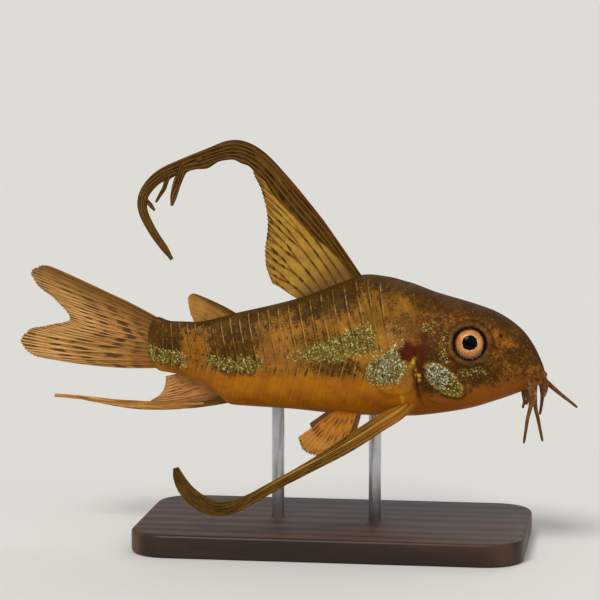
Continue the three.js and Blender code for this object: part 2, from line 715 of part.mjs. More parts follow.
function pelvicFin(side) {
  const margin = curveThrough([
    [2.1, side * 5.7, -3.5], [0.6, side * 6, -4.3], [-1.5, side * 6, -4.6],
    [-3.4, side * 5.8, -4], [-4.1, side * 5.3, -2.4],
  ]);
  const bow = new THREE.Vector3(0, side * pelvic.bowOut, pelvic.bowUp);
  const rays = [];
  for (let k = 0; k < pelvic.rays; k++) {
    const t = k / (pelvic.rays - 1);
    const rootX = THREE.MathUtils.lerp(...pelvic.rootX, t);
    const rootZ = undersideAt(rootX, pelvic.across) - gap - 0.1;
    const root = new THREE.Vector3(rootX, side * pelvic.across, rootZ);
    rays.push(bowedRay(root, margin.getPoint(t), bow, pelvic.steps));
  }
  return rayFin(rays, { crest: 0.75, tipCrest: 0.5, notch: 0.25 });
}

// Barbels: tapered feelers from the corners of the mouth and the lower lip.
function barbel(route, rootRadius, tipRadius) {
  const line = curveThrough(route);
  const rings = [];
  const [steps, sides] = [9, 6];
  for (let i = 0; i <= steps; i++) {
    const t = i / steps;
    const [point, way] = [line.getPoint(t), line.getTangent(t)];
    const one = new THREE.Vector3(0, 1, 0).cross(way).normalize();
    const two = way.clone().cross(one).normalize();
    const radius = THREE.MathUtils.lerp(rootRadius, tipRadius, Math.sqrt(t));
    rings.push(Array.from({ length: sides }, (_, j) => {
      const angle = (j / sides) * 2 * Math.PI;
      const [aside, ahead] = [radius * Math.cos(angle), radius * Math.sin(angle)];
      return point.clone().addScaledVector(one, aside).addScaledVector(two, ahead);
    }));
  }
  return solidOf(loft(rings));
}

const longBarbel = { root: 0.5, tip: 0.26 };
const chinBarbel = { root: 0.4, tip: 0.25 };
const barbelRoutes = {
  barbel_right_rear: [
    [25.45, -4.95, 3.8], [25.4, -5.2, 2.2], [25.1, -5.3, 0.9], [24.85, -5.3, -0.85], [24.6, -5.2, -2.5],
  ],
  barbel_right_front: [
    [25.8, -3.8, 3.8], [25.95, -3.8, 2], [26.3, -3.7, 0.45], [26.55, -3.6, -0.85], [26.9, -3.5, -2.5],
  ],
  barbel_left_rear: [
    [26.65, 0.1, 3.75], [26.6, 0.3, 2.6], [26.45, 0.45, 1.2], [26.3, 0.5, 0.3],
  ],
  barbel_left_front: [
    [27.55, 1.35, 4.05], [28.1, 1.5, 3.5], [29.05, 1.9, 2.65], [30.1, 2.4, 1.75], [31, 2.8, 0.95],
  ],
  barbel_chin_right: [[24.4, -2.9, 3.35], [24.5, -3.1, 2.5], [24.3, -3.3, 1.7]],
  barbel_chin_left: [[24.6, -0.9, 3.35], [24.8, -0.7, 2.5], [24.6, -0.5, 1.7]],
};

// The stand: a rounded base and two rods up to the belly.

function standBase() {
  const radius = base.corner;
  const x = base.length / 2 - base.bevel - radius;
  const y = base.width / 2 - base.bevel - radius;
  const outline = new THREE.Shape();
  outline.absarc(x, y, radius, 0, Math.PI / 2, false);
  outline.absarc(-x, y, radius, Math.PI / 2, Math.PI, false);
  outline.absarc(-x, -y, radius, Math.PI, Math.PI * 1.5, false);
  outline.absarc(x, -y, radius, Math.PI * 1.5, Math.PI * 2, false);
  const board = new THREE.ExtrudeGeometry(outline, {
    depth: base.thickness - 2 * base.bevel,
    bevelSize: base.bevel,
    bevelThickness: base.bevel,
    bevelSegments: 1,
    curveSegments: 6,
  });
  return board.translate(0, 0, base.bevel);
}

function standRod(x) {
  const [from, to] = [base.thickness + gap, bellyHeight + belly(x) - gap];
  return new THREE.CylinderGeometry(rod.radius, rod.radius, to - from, 20)
    .rotateX(Math.PI / 2)
    .translate(x, 0, (from + to) / 2);
}

// Materials, one for each finish.
function finish(color, roughness, metalness = 0) {
  return new THREE.MeshStandardMaterial({ color, roughness, metalness });
}

const skinFinish = finish(0x7a5420, 0.45);
const finFinish = finish(0x8f6a3a, 0.5);
const eyeFinish = finish(0xd9813f, 0.15);
const barbelFinish = finish(0x8a6e52, 0.5);
const standWood = finish(0x2e2119, 0.5);
const standMetal = finish(0xb8b8b8, 0.3, 1);

const model = new THREE.Group();
const fish = new THREE.Group();
fish.position.z = bellyHeight;
model.add(fish);

function addNode(group, name, geometry, material) {
  const mesh = new THREE.Mesh(geometry, material);
  mesh.name = name;
  group.add(mesh);
}

const whole = bodySolid();
const head = headSolid(whole).intersect(headRegion(-gap / 2));
const body = slice(tailCutX + gap / 2, snoutX + 3);
const torso = torsoSolid(whole).intersect(body).subtract(headRegion(gap / 2));
const tailStem = whole.intersect(slice(-cutWidth, tailCutX - gap / 2));
addNode(fish, "head", geometryFrom(head), skinFinish);
addNode(fish, "torso", geometryFrom(torso), skinFinish);
addNode(fish, "tail_stem", geometryFrom(tailStem), skinFinish);
for (const [name, side] of [["right", -1], ["left", 1]]) {
  addNode(fish, `eye_${name}`, geometryFrom(eyeBall(side, 0)), eyeFinish);
  addNode(fish, `pelvic_fin_${name}`, geometryFrom(pelvicFin(side)), finFinish);
}
addNode(fish, "dorsal_fin", geometryFrom(dorsalFin()), finFinish);
addNode(fish, "dorsal_streamer", geometryFrom(streamerArch()), finFinish);
addNode(fish, "dorsal_streamer_tip", geometryFrom(streamerTip()), finFinish);
addNode(fish, "adipose_fin", geometryFrom(adiposeFin()), finFinish);
addNode(fish, "caudal_fin", geometryFrom(caudalFin()), finFinish);
addNode(fish, "anal_fin", geometryFrom(analFin()), finFinish);
addNode(fish, "anal_thread", geometryFrom(analThread()), finFinish);
for (const [name, shape] of Object.entries(pectorals)) {
  addNode(fish, `pectoral_fin_${name}`, geometryFrom(pectoralFin(shape)), finFinish);
  addNode(fish, `pectoral_streamer_${name}`, geometryFrom(pectoralStreamer(shape)), finFinish);
}
for (const [name, route] of Object.entries(barbelRoutes)) {
  const { root, tip } = name.includes("chin") ? chinBarbel : longBarbel;
  addNode(fish, name, geometryFrom(barbel(route, root, tip)), barbelFinish);
}
addNode(model, "stand_base", standBase(), standWood);
addNode(model, "stand_rod_front", standRod(rod.frontX), standMetal);
addNode(model, "stand_rod_rear", standRod(rod.rearX), standMetal);

export default model;
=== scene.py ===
import math

import bpy
import numpy as np
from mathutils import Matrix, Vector


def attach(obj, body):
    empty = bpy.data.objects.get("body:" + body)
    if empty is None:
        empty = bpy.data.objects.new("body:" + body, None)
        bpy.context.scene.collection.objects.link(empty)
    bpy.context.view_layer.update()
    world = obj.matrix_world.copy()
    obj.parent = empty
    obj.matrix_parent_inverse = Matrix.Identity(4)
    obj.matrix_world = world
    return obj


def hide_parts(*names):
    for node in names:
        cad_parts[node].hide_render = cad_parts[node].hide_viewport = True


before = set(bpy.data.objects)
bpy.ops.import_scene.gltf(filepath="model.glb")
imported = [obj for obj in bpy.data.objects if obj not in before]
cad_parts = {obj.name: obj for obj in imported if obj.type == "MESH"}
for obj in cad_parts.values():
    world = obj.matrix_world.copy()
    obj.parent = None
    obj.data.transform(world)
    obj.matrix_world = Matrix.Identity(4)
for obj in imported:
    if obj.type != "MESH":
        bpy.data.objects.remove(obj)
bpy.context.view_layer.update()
bpy.ops.object.select_all(action="DESELECT")

# Sizes below are in millimetres, in the fish's own frame: x forwards, y to its left, and its belly
# at z = 0.
mm = 0.001
bellyHeight = 16.8


# small helpers for colours and shader maths

def tone(red, green, blue):
    # a colour as picked on screen, made linear
    def straight(v):
        v = v / 255
        return v / 12.92 if v <= 0.04045 else ((v + 0.055) / 1.055) ** 2.4
    return (straight(red), straight(green), straight(blue), 1)


class Wire:
    # one output socket; sums on it add their Math nodes
    def __init__(self, tree, socket):
        self.tree = tree
        self.socket = socket

    def maths(self, operation, *values):
        node = self.tree.nodes.new("ShaderNodeMath")
        node.operation = operation
        for i, value in enumerate(values):
            if isinstance(value, Wire):
                self.tree.links.new(value.socket, node.inputs[i])
            else:
                node.inputs[i].default_value = value
        return Wire(self.tree, node.outputs[0])

    def __add__(self, other):
        return self.maths("ADD", self, other)

    def __radd__(self, other):
        return self.maths("ADD", other, self)

    def __sub__(self, other):
        return self.maths("SUBTRACT", self, other)

    def __rsub__(self, other):
        return self.maths("SUBTRACT", other, self)

    def __mul__(self, other):
        return self.maths("MULTIPLY", self, other)

    def __rmul__(self, other):
        return self.maths("MULTIPLY", other, self)

    def fraction(self):
        return self.maths("FRACT", self)

    def larger(self, other):
        return self.maths("MAXIMUM", self, other)


class Finish:
    # a material with a Principled shader, and short ways to add nodes to it; its tones are looked up
    # by name in the piece's own dictionary
    def __init__(self, name, tones, **constants):
        self.tones = tones
        self.material = bpy.data.materials.new(name)
        self.material.use_nodes = True
        self.tree = self.material.node_tree
        self.shader = self.tree.nodes["Principled BSDF"]
        for socket, value in constants.items():
            self.shader.inputs[socket.replace("_", " ")].default_value = value

    def node(self, kind, settings=None, sockets=None, out=0):
        node = self.tree.nodes.new(kind)
        for key, value in (settings or {}).items():
            setattr(node, key, value)
        for key, value in (sockets or {}).items():
            self.feed(node.inputs[key], value)
        return Wire(self.tree, node.outputs[out])

    def feed(self, socket, value):
        if isinstance(value, Wire):
            self.tree.links.new(value.socket, socket)
        else:
            socket.default_value = value

    def place(self):
        return self.node("ShaderNodeTexCoord", out="Object")

    def read(self, name):
        return self.node("ShaderNodeAttribute", {"attribute_name": name}, out="Fac")

    def join(self, x, y, z=0.0):
        return self.node("ShaderNodeCombineXYZ", None, {"X": x, "Y": y, "Z": z})

    def rawNoise(self, where, scale, detail, rough=0.5):
        sockets = {"Vector": where, "Scale": scale, "Detail": detail, "Roughness": rough}
        return self.node("ShaderNodeTexNoise", None, sockets)

    def noise(self, where, size, detail=3.0, rough=0.55):
        # size is the width of its spots in millimetres
        return self.rawNoise(where, 1 / (size * mm), detail, rough)

    def flecks(self, where, size):
        # a random number for each small cell
        sockets = {"Vector": where, "Scale": 1 / (size * mm)}
        cells = self.node("ShaderNodeTexVoronoi", None, sockets, out="Color")
        return self.node("ShaderNodeSeparateColor", None, {"Color": cells}, out="Red")

    def ramp(self, value, low, high, to=(0.0, 1.0)):
        limits = {"From Min": low, "From Max": high, "To Min": to[0], "To Max": to[1]}
        settings = {"interpolation_type": "SMOOTHSTEP"}
        return self.node("ShaderNodeMapRange", settings, {"Value": value, **limits})

    def mix(self, factor, one, two):
        sockets = {0: factor, 6: one, 7: two}
        return self.node("ShaderNodeMix", {"data_type": "RGBA"}, sockets, out=2)

    def between(self, factor, name):
        one, two = self.tones[name]
        return self.mix(factor, tone(*one), tone(*two))

    def pick(self, value, low, high, name):
        # the first tone where the value is low, the second where it is high
        return self.between(self.ramp(value, low, high), name)

    def over(self, colour, amount, name):
        # a tone laid over a colour by the amount
        return self.mix(amount, colour, tone(*self.tones[name]))

    def bump(self, height, strength, depth):
        sockets = {"Height": height, "Strength": strength, "Distance": depth * mm}
        return self.node("ShaderNodeBump", None, sockets)

    def finish(self, **sockets):
        for socket, value in sockets.items():
            self.feed(self.shader.inputs[socket.replace("_", " ")], value)
        return self.material


# camera, floor and light

view = {
    "eye": (43.63, -342.88, 57.11),
    "target": (-4.713, 1.130, 14.454),
    "acrossAtTarget": 77.32,
    "distance": 350,
    "sensor": 36,
}
studio = {
    "floorSize": 30,
    "floor": ((228, 225, 218), (205, 201, 194)),
    "skyTone": (236, 238, 240),
    "skyStrength": 0.42,
    "suns": [  # strength, softness in degrees, turn round the object and height in degrees
        (1.7, 20, -25, 55),
        (0.35, 60, 60, 30),
        (0.5, 40, 165, 45),
    ],
}


def inModel(point):
    return Vector((point[0], point[1], point[2] + bellyHeight)) * mm


def makeCamera():
    lens = bpy.data.cameras.new("camera")
    lens.sensor_width = view["sensor"]
    lens.lens = view["sensor"] * view["distance"] / view["acrossAtTarget"]
    lens.clip_start = 0.01
    lens.clip_end = 100
    camera = bpy.data.objects.new("camera", lens)
    bpy.context.scene.collection.objects.link(camera)
    camera.location = inModel(view["eye"])
    looking = inModel(view["target"]) - inModel(view["eye"])
    camera.rotation_euler = looking.to_track_quat("-Z", "Y").to_euler()
    bpy.context.scene.camera = camera


def makeStudio():
    bpy.ops.mesh.primitive_plane_add(size=studio["floorSize"], location=(0, 0, 0))
    floor = bpy.context.object
    floor.name = "floor"
    f = Finish("paleFloor", studio, Roughness=0.9)
    cloudy = f.noise(f.place(), 60)
    floor.data.materials.append(f.finish(Base_Color=f.between(cloudy * 0.12, "floor")))
    bpy.ops.object.select_all(action="DESELECT")
    for i, (strength, softness, turn, height) in enumerate(studio["suns"]):
        lamp = bpy.data.lights.new(f"sun{i}", "SUN")
        lamp.energy = strength
        lamp.angle = math.radians(softness)
        sun = bpy.data.objects.new(f"sun{i}", lamp)
        bpy.context.scene.collection.objects.link(sun)
        a = math.radians(turn)
        e = math.radians(height)
        fromWay = Vector((math.sin(a) * math.cos(e), -math.cos(a) * math.cos(e), math.sin(e)))
        sun.rotation_euler = (-fromWay).to_track_quat("-Z", "Y").to_euler()
    world = bpy.data.worlds.new("studio")
    world.use_nodes = True
    sky = world.node_tree.nodes["Background"]
    sky.inputs["Color"].default_value = tone(*studio["skyTone"])
    sky.inputs["Strength"].default_value = studio["skyStrength"]
    bpy.context.scene.world = world
    bpy.context.scene.view_settings.view_transform = "Standard"


makeCamera()
makeStudio()
print("camera, floor and light")


# curves and surfaces

def smoothstep(value, low, high):
    t = np.clip((value - low) / (high - low), 0, 1)
    return t * t * (3 - 2 * t)


def profile(*pairs):
    # a curve through [x, value] pairs that never overshoots them
    x, v = np.array(pairs, float).T
    secant = np.diff(v) / np.diff(x)
    slope = np.concatenate([secant[:1], np.zeros(len(x) - 2), secant[-1:]])
    before, after = secant[:-1], secant[1:]
    rising = before * after > 0
    total = np.where(rising, before + after, 1)
    slope[1:-1] = np.where(rising, 2 * before * after / total, 0)

    def at(where):
        q = np.clip(where, x[0], x[-1])
        i = np.clip(np.searchsorted(x, q) - 1, 0, len(x) - 2)
        width = x[i + 1] - x[i]
        t = (q - x[i]) / width
        return ((1 + 2 * t) * (1 - t) ** 2 * v[i] + t * (1 - t) ** 2 * width * slope[i]
                + t ** 2 * (3 - 2 * t) * v[i + 1] + t ** 2 * (t - 1) * width * slope[i + 1])
    return at


def route(*points):
    # a smooth line through points in space; its parameter runs from 0 to 1 with the length
    p = np.array(points, float)
    reach = np.concatenate([[0], np.cumsum(np.linalg.norm(np.diff(p, axis=0), axis=1))])
    reach = reach / reach[-1]
    slope = np.gradient(p, reach, axis=0)

    def at(t):
        t = np.clip(np.asarray(t, float), 0, 1)
        i = np.clip(np.searchsorted(reach, t) - 1, 0, len(p) - 2)
        width = (reach[i + 1] - reach[i])[..., None]
        s = (t - reach[i])[..., None] / width
        return ((1 + 2 * s) * (1 - s) ** 2 * p[i] + s * (1 - s) ** 2 * width * slope[i]
                + s ** 2 * (3 - 2 * s) * p[i + 1] + s ** 2 * (s - 1) * width * slope[i + 1])
    return at


def tangentOf(line, t):
    step = 0.004
    way = line(np.clip(t + step, 0, 1)) - line(np.clip(t - step, 0, 1))
    return way / np.linalg.norm(way, axis=-1, keepdims=True)


def ridge(value, middle, width):
    # 1 at the middle, falling off smoothly to both sides
    return np.exp(-((value - middle) / width) ** 2)


def unit(vectors):
    return vectors / np.maximum(np.linalg.norm(vectors, axis=-1, keepdims=True), 1e-9)


def pointsOf(piece):
    flat = np.zeros(len(piece.data.vertices) * 3)
    piece.data.vertices.foreach_get("co", flat)
    return flat.reshape(-1, 3)


def setPoints(piece, points):
    # points are in the fish's millimetres
    setMetres(piece, (np.asarray(points, float) + (0, 0, bellyHeight)) * mm)


def setMetres(piece, points):
    piece.data.vertices.foreach_set("co", points.ravel())
    piece.data.update()


def normalsOf(piece):
    flat = np.zeros(len(piece.data.vertices) * 3)
    piece.data.vertices.foreach_get("normal", flat)
    return flat.reshape(-1, 3)


def note(piece, **marks):
    # numbers at each vertex, for the piece's material
    for name, values in marks.items():
        store = piece.data.attributes.new(name, "FLOAT", "POINT")
        store.data.foreach_set("value", np.asarray(values, np.float32).ravel())


def named(name):
    piece = bpy.context.object
    piece.name = name
    piece.data.name = name
    bpy.ops.object.select_all(action="DESELECT")
    return piece


def ballSheet(name, rings, segments):
    # a ball with its poles on the z axis; gives the piece, and how far along and round each vertex is
    bpy.ops.mesh.primitive_uv_sphere_add(segments=segments, ring_count=rings, radius=1)
    piece = named(name)
    points = pointsOf(piece)
    along = np.arccos(np.clip(points[:, 2], -1, 1)) / math.pi
    turn = np.arctan2(points[:, 1], points[:, 0])
    return piece, along, turn


def flatSheet(name, columns, rows):
    # a flat grid; gives the piece, and how far across and along each vertex is
    bpy.ops.mesh.primitive_grid_add(x_subdivisions=columns, y_subdivisions=rows, size=1)
    piece = named(name)
    points = pointsOf(piece)
    return piece, points[:, 0] + 0.5, points[:, 1] + 0.5


def applyModifier(piece, kind, **settings):
    modifier = piece.modifiers.new(kind.lower(), kind)
    for key, value in settings.items():
        setattr(modifier, key, value)
    bpy.context.view_layer.objects.active = piece
    bpy.ops.object.modifier_apply(modifier=modifier.name)


def thicken(piece, thickness):
    # a wall about the sheet, thickness in millimetres at each vertex
    thickest = float(np.max(thickness))
    group = piece.vertex_groups.new(name="wall")
    steps = 40
    level = np.round(np.asarray(thickness) / thickest * steps).astype(int)
    for k in range(1, steps + 1):
        group.add(np.nonzero(level == k)[0].tolist(), k / steps, "REPLACE")
    applyModifier(piece, "SOLIDIFY", thickness=thickest * mm, offset=0, vertex_group="wall",
                  use_even_offset=False)
    piece.vertex_groups.clear()


def outwards(piece):
    bpy.context.view_layer.objects.active = piece
    piece.select_set(True)
    bpy.ops.object.mode_set(mode="EDIT")
    bpy.ops.mesh.select_all(action="SELECT")
    bpy.ops.mesh.normals_make_consistent(inside=False)
    bpy.ops.object.mode_set(mode="OBJECT")
    bpy.ops.object.shade_smooth()
    bpy.ops.object.select_all(action="DESELECT")


def dress(piece, material, slot, *nodes):
    outwards(piece)
    piece.data.materials.clear()
    piece.data.materials.append(material)
    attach(piece, "root")
    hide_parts(*nodes)


# the body: one skin from tail base to snout

body = {
    "snoutX": 27.05,
    "tailEndX": -24.7,
    "rings": 372,
    "segments": 192,
    "upperRound": 2.05,
    "lowerRound": 2.6,
}
plates = {
    "count": 23,
    "frontPitch": 1.66,
    "rearPitch": 1.02,
    "firstX": -22.6,
    "growsOver": 31,  # length in millimetres over which the pitch grows
    "height": 0.24,
    "ringsAt": [0, 0.05, 0.11, 0.2, 0.32, 0.45, 0.6, 0.75, 0.88, 0.97],
    "seam": 0.47,
    "lean": 0.28,
}
back = profile(
    [-23.9, 12.3], [-21.3, 11.45], [-18.8, 11.45], [-12.5, 12.85], [-4.7, 14.85], [1.3, 17.15],
    [3.7, 17.95], [6.6, 17.65], [9.4, 17.15], [12.9, 15.95], [17.9, 14.6], [20.4, 13.8],
    [22.5, 12.7], [24.3, 11.25], [25.6, 9.5], [26.4, 7.95], [26.85, 6.85], [27.05, 6.1])
belly = profile(
    [-23.9, 4.95], [-20.2, 4.5], [-17.7, 3.8], [-15.5, 2.3], [-13.3, 0.85], [-9.2, 0.7],
    [-5.8, 0.6], [0, 0.2], [4, 0.05], [9.8, 0.1], [13.3, 0.5], [17.7, 1.35], [20.7, 2.35],
    [23.2, 3.3], [25.7, 4.5], [26.8, 5.45], [27.05, 6])
halfWidth = profile(
    [-23.9, 1], [-21, 1.45], [-18, 2.15], [-12, 3.6], [-5, 5.05], [2, 6.1], [8, 6.45], [13, 6.1],
    [18, 5.15], [22, 4.05], [24.4, 3.05], [25.8, 2.15], [26.65, 1.25], [27.05, 0.1])
waistShare = profile([-23.9, 0.5], [-12, 0.46], [0, 0.36], [12, 0.36], [20, 0.4], [27.05, 0.45])
plateGrowth = (plates["frontPitch"] - plates["rearPitch"]) / plates["growsOver"]


def plateEdge(k):
    return plates["firstX"] + plates["rearPitch"] / plateGrowth * (np.exp(plateGrowth * k) - 1)


def sway(x):
    # the slow bend of the spine, seen from above
    x = np.asarray(x, float)
    return np.where(x > 8, -0.006 * (x - 8) ** 2, np.where(x < -5, 0.003 * (x + 5) ** 2, 0))


def signedPower(value, exponent):
    return np.sign(value) * np.abs(value) ** exponent


def skinPoint(x, angle, lift=0.0):
    top, bottom = back(x), belly(x)
    middle = bottom + (top - bottom) * waistShare(x)
    upper = np.sin(angle) > 0
    power = np.where(upper, 2 / body["upperRound"], 2 / body["lowerRound"])
    y = halfWidth(x) * signedPower(np.cos(angle), power)
    z = np.where(upper, top - middle, middle - bottom) * signedPower(np.sin(angle), power)
    grow = 1 + lift / np.maximum(np.hypot(y, z), 0.05)
    return np.stack([x, sway(x) + y * grow, middle + z * grow], -1)


def sideAt(x, z):
    middle = belly(x) + (back(x) - belly(x)) * waistShare(x)
    above = z > middle
    reach = np.where(above, back(x) - middle, middle - belly(x))
    power = np.where(above, body["upperRound"], body["lowerRound"])
    share = np.minimum(0.999, np.abs(z - middle) / reach)
    return halfWidth(x) * (1 - share ** power) ** (1 / power)


def flankSpot(x, z, side):
    def skin(atX, atZ):
        return np.array([atX, sway(atX) + side * sideAt(atX, atZ), atZ])
    along = skin(x + 0.2, z) - skin(x - 0.2, z)
    up = skin(x, z + 0.2) - skin(x, z - 0.2)
    return skin(x, z), unit(np.cross(along, up) * -side)


def undersideAt(x, across):
    middle = belly(x) + (back(x) - belly(x)) * waistShare(x)
    power = body["lowerRound"]
    return middle - (middle - belly(x)) * (1 - (across / halfWidth(x)) ** power) ** (1 / power)


def stationList():
    # x of each ring of the skin, and where in its plate it lies: 0 is a plate's rear edge
    stations = [(x, 0.0) for x in np.linspace(body["tailEndX"] + 0.04, plateEdge(0) - 0.1, 16)]
    for k in range(plates["count"]):
        pitch = plateEdge(k + 1) - plateEdge(k)
        stations += [(plateEdge(k) + pitch * share, k + share) for share in plates["ringsAt"]]
    headFrom = plateEdge(plates["count"])
    rest = body["rings"] - 1 - len(stations)
    for k in range(rest):
        # closer together towards the snout
        t = math.sin(k / (rest - 1) * math.pi / 2 * 0.985)
        stations.append((headFrom + (body["snoutX"] - headFrom) * t, plates["count"] + k / rest))
    return np.array(stations)


def chevron(x, share):
    # each plate's edge leans forward to the seam between the rows
    fade = smoothstep(x, -23.6, -19) * (1 - smoothstep(x, 3, 12.5))
    return fade * plates["lean"] * (back(x) - belly(x)) * (0.53 - np.abs(share - plates["seam"]))


def plateCover(x, share):
    low = smoothstep(share, 0.05, 0.13)
    high = 1 - smoothstep(share, 0.93, 0.99)
    seam = 0.15 + 0.85 * smoothstep(np.abs(share - plates["seam"]), 0.008, 0.045)
    return low * high * seam


# the head: eyes, nostrils, gill covers and lips, placed by x and z as seen from the side
head = {
    "eye": (17.7, 10.1),
    "eyeRadius": 2.05,
    "eyeSocket": (1.15, 1.7, 2.2),  # depth, and the radii between which it ends
    "eyeRims": [(0.26, 2.42, 0.27), (0.1, 3.15, 0.3)],  # height, radius, width
    "nostril": (21.6, 11.0),
    "nostrilLean": (0.35, 0, 0.25),
    "nostrilTube": (0.42, 0.5, 0.72),
    "nostrilHole": (0.75, 0.22, 0.4),
    "gillArc": (36.8, 8.0, 25.8),  # middle and radius of the slit behind the gill cover
    "gillSlit": (0.3, 0.16),  # depth, width
    "opercle": (14.55, 5.5, 5.9, 2.9, -0.7),  # middle, length, height, tilt
    "opercleLift": 0.44,
    "opercleDish": 0.12,
    "coverLift": 0.22,
    "shoulderLift": 0.3,
    "nape": (6.1, 3.2, 1.9, 0.16),  # x, half length, half width, height
    # height, z and width of each lip, then of the cleft
    "lips": [(0.34, 5.88, 0.3), (0.34, 4.95, 0.3), (-0.5, 5.42, 0.16)],
}


def sideLine(*points):
    # a line seen from the side, through [x, z] points
    return route(*([x, 0, z] for x, z in points))


gillCover = sideLine([14, 10.8], [11.4, 9.8], [11, 6.6], [12.4, 3], [16, 2.3], [17.9, 3.6],
                     [16.8, 6.6], [14, 10.8])
shoulderPlate = sideLine([8.7, 10.4], [6.9, 8], [5.6, 5.4], [6.8, 3.8], [10.4, 4], [11.3, 7],
                         [10.4, 9.9], [8.7, 10.4])


def depthInside(x, z, outline):
    # distance inside a closed outline, negative outside
    edge = outline(np.linspace(0, 1, 72))[:, [0, 2]]
    nearest = np.full(len(x), 1e9)
    inside = np.zeros(len(x), bool)
    for (ax, az), (bx, bz) in zip(edge[:-1], edge[1:]):
        length = max((bx - ax) ** 2 + (bz - az) ** 2, 1e-12)
        t = np.clip(((x - ax) * (bx - ax) + (z - az) * (bz - az)) / length, 0, 1)
        nearest = np.minimum(nearest, np.hypot(x - ax - t * (bx - ax), z - az - t * (bz - az)))
        crosses = (az > z) != (bz > z)
        across = ax + (z - az) / np.where(bz == az, 1e-9, bz - az) * (bx - ax)
        inside ^= crosses & (x < across)
    return np.where(inside, nearest, -nearest)


def inOval(x, z, oval):
    # 0 at the middle and 1 at the rim of a tilted oval
    cx, cz, length, height, tilt = oval
    along = (x - cx) * math.cos(tilt) + (z - cz) * math.sin(tilt)
    up = -(x - cx) * math.sin(tilt) + (z - cz) * math.cos(tilt)
    return np.hypot(along / (length / 2), up / (height / 2))


def fromAxis(points, spot, outward):
    # distance from a line through a spot
    away = points - spot
    return np.linalg.norm(away - (away @ outward)[:, None] * outward, axis=1), away @ outward


def gillSlit(x, z, width):
    arcX, arcZ, arcRadius = head["gillArc"]
    return ridge(np.hypot(x - arcX, z - arcZ), arcRadius, width)


def headRelief(points):
    x, z = points[:, 0], points[:, 2]
    ahead = smoothstep(x, 4.5, 5.5)
    shoulder = smoothstep(depthInside(x, z, shoulderPlate), -0.12, 0.2) * head["shoulderLift"]
    cover = smoothstep(depthInside(x, z, gillCover), -0.15, 0.3) * head["coverLift"]
    oval = inOval(x, z, head["opercle"])
    dish = head["opercleDish"] * (1 - smoothstep(oval, 0.1, 0.85))
    opercle = (1 - smoothstep(oval, 0.9, 1.1)) * (head["opercleLift"] - dish)
    lift = np.max([shoulder, cover, opercle], 0) * ahead
    depth, width = head["gillSlit"]
    lift -= depth * gillSlit(x, z, width) * smoothstep(z, 1.2, 2.4) * (1 - smoothstep(z, 9.6, 10.8))
    napeX, napeLong, napeWide, napeHigh = head["nape"]
    nape = 1 - smoothstep(np.hypot((x - napeX) / napeLong, points[:, 1] / napeWide), 0.3, 1.05)
    lift += napeHigh * nape * smoothstep(z, 14, 16)
    for side in (-1, 1):
        spot, outward = flankSpot(*head["eye"], side)
        r, out = fromAxis(points, spot, outward)
        deep, socketFrom, socketTo = head["eyeSocket"]
        relief = sum(high * ridge(r, radius, wide) for high, radius, wide in head["eyeRims"])
        relief = relief - deep * (1 - smoothstep(r, socketFrom, socketTo))
        lift += np.where(out > -2.5, relief, 0)
        spot, outward = flankSpot(*head["nostril"], side)
        r, out = fromAxis(points, spot, unit(outward + np.array(head["nostrilLean"])))
        high, tubeFrom, tubeTo = head["nostrilTube"]
        deep, holeFrom, holeTo = head["nostrilHole"]
        relief = high * (1 - smoothstep(r, tubeFrom, tubeTo))
        relief = relief - deep * (1 - smoothstep(r, holeFrom, holeTo))
        lift += np.where(out > -1.5, relief, 0)
    # lips and the cleft of the mouth between them
    across = np.abs(points[:, 1] - sway(25.7))
    front = smoothstep(x, 23.9, 24.9) * (1 - smoothstep(across, 1.7, 2.35))
    return lift + front * sum(high * ridge(z, middle, wide) for high, middle, wide in head["lips"])


def waver(a, b):
    # gentle wandering between -1 and 1, so that no edge of a marking is straight
    waves = np.sin(1.7 * a + 2.1 * b) + np.sin(3.1 * a - 4.3 * b + 1) + np.sin(5.3 * a + 2.9 * b + 2)
    return waves / 3


def band(value, low, high, soft):
    rise = smoothstep(value, low - soft, low + soft)
    return rise * (1 - smoothstep(value, high - soft, high + soft))


def blot(x, z, cx, cz, rx, rz, soft=0.35):
    return 1 - smoothstep(np.hypot((x - cx) / rx, (z - cz) / rz), 1 - soft, 1 + soft)


def spots(x, z, rows):
    # the strongest of some soft ovals
    return np.max([blot(x, z, *row[:5]) * row[5] for row in rows], 0)


def stretches(x, share, rows):
    # the strongest of some lengths of the flank, each at its own height
    return np.max([band(x, *row[:3]) * band(share, *row[3:6]) * row[6] for row in rows], 0)


bellyLine = profile([-23.9, 5.6], [-20, 5.4], [-16.5, 5.3], [-9, 5.9], [-3.8, 5.8], [3, 5.6],
                    [6.5, 5.3], [9.5, 4.5], [12.8, 3.6], [16, 3.7], [19, 4.7], [22, 5.1], [24, 5.7],
                    [27.05, 6.0])
crownEdge = profile([6, 0.8], [10, 0.84], [17, 0.89], [21, 0.84], [24.5, 0.76], [27.05, 0.8])
bandPatch = sideLine([-6.2, 7.7], [-3.8, 8.9], [0, 10.4], [5.4, 12.3], [6.3, 11], [6, 9.2], [3, 8.1],
                     [-1, 7.4], [-6.2, 7.7])
shoulderPatch = sideLine([9.4, 10.3], [6.9, 8.9], [4.7, 6.5], [5.2, 5.1], [6.8, 4.7], [8.7, 5.1],
                         [9.7, 6.6], [9.6, 8.8], [9.4, 10.3])
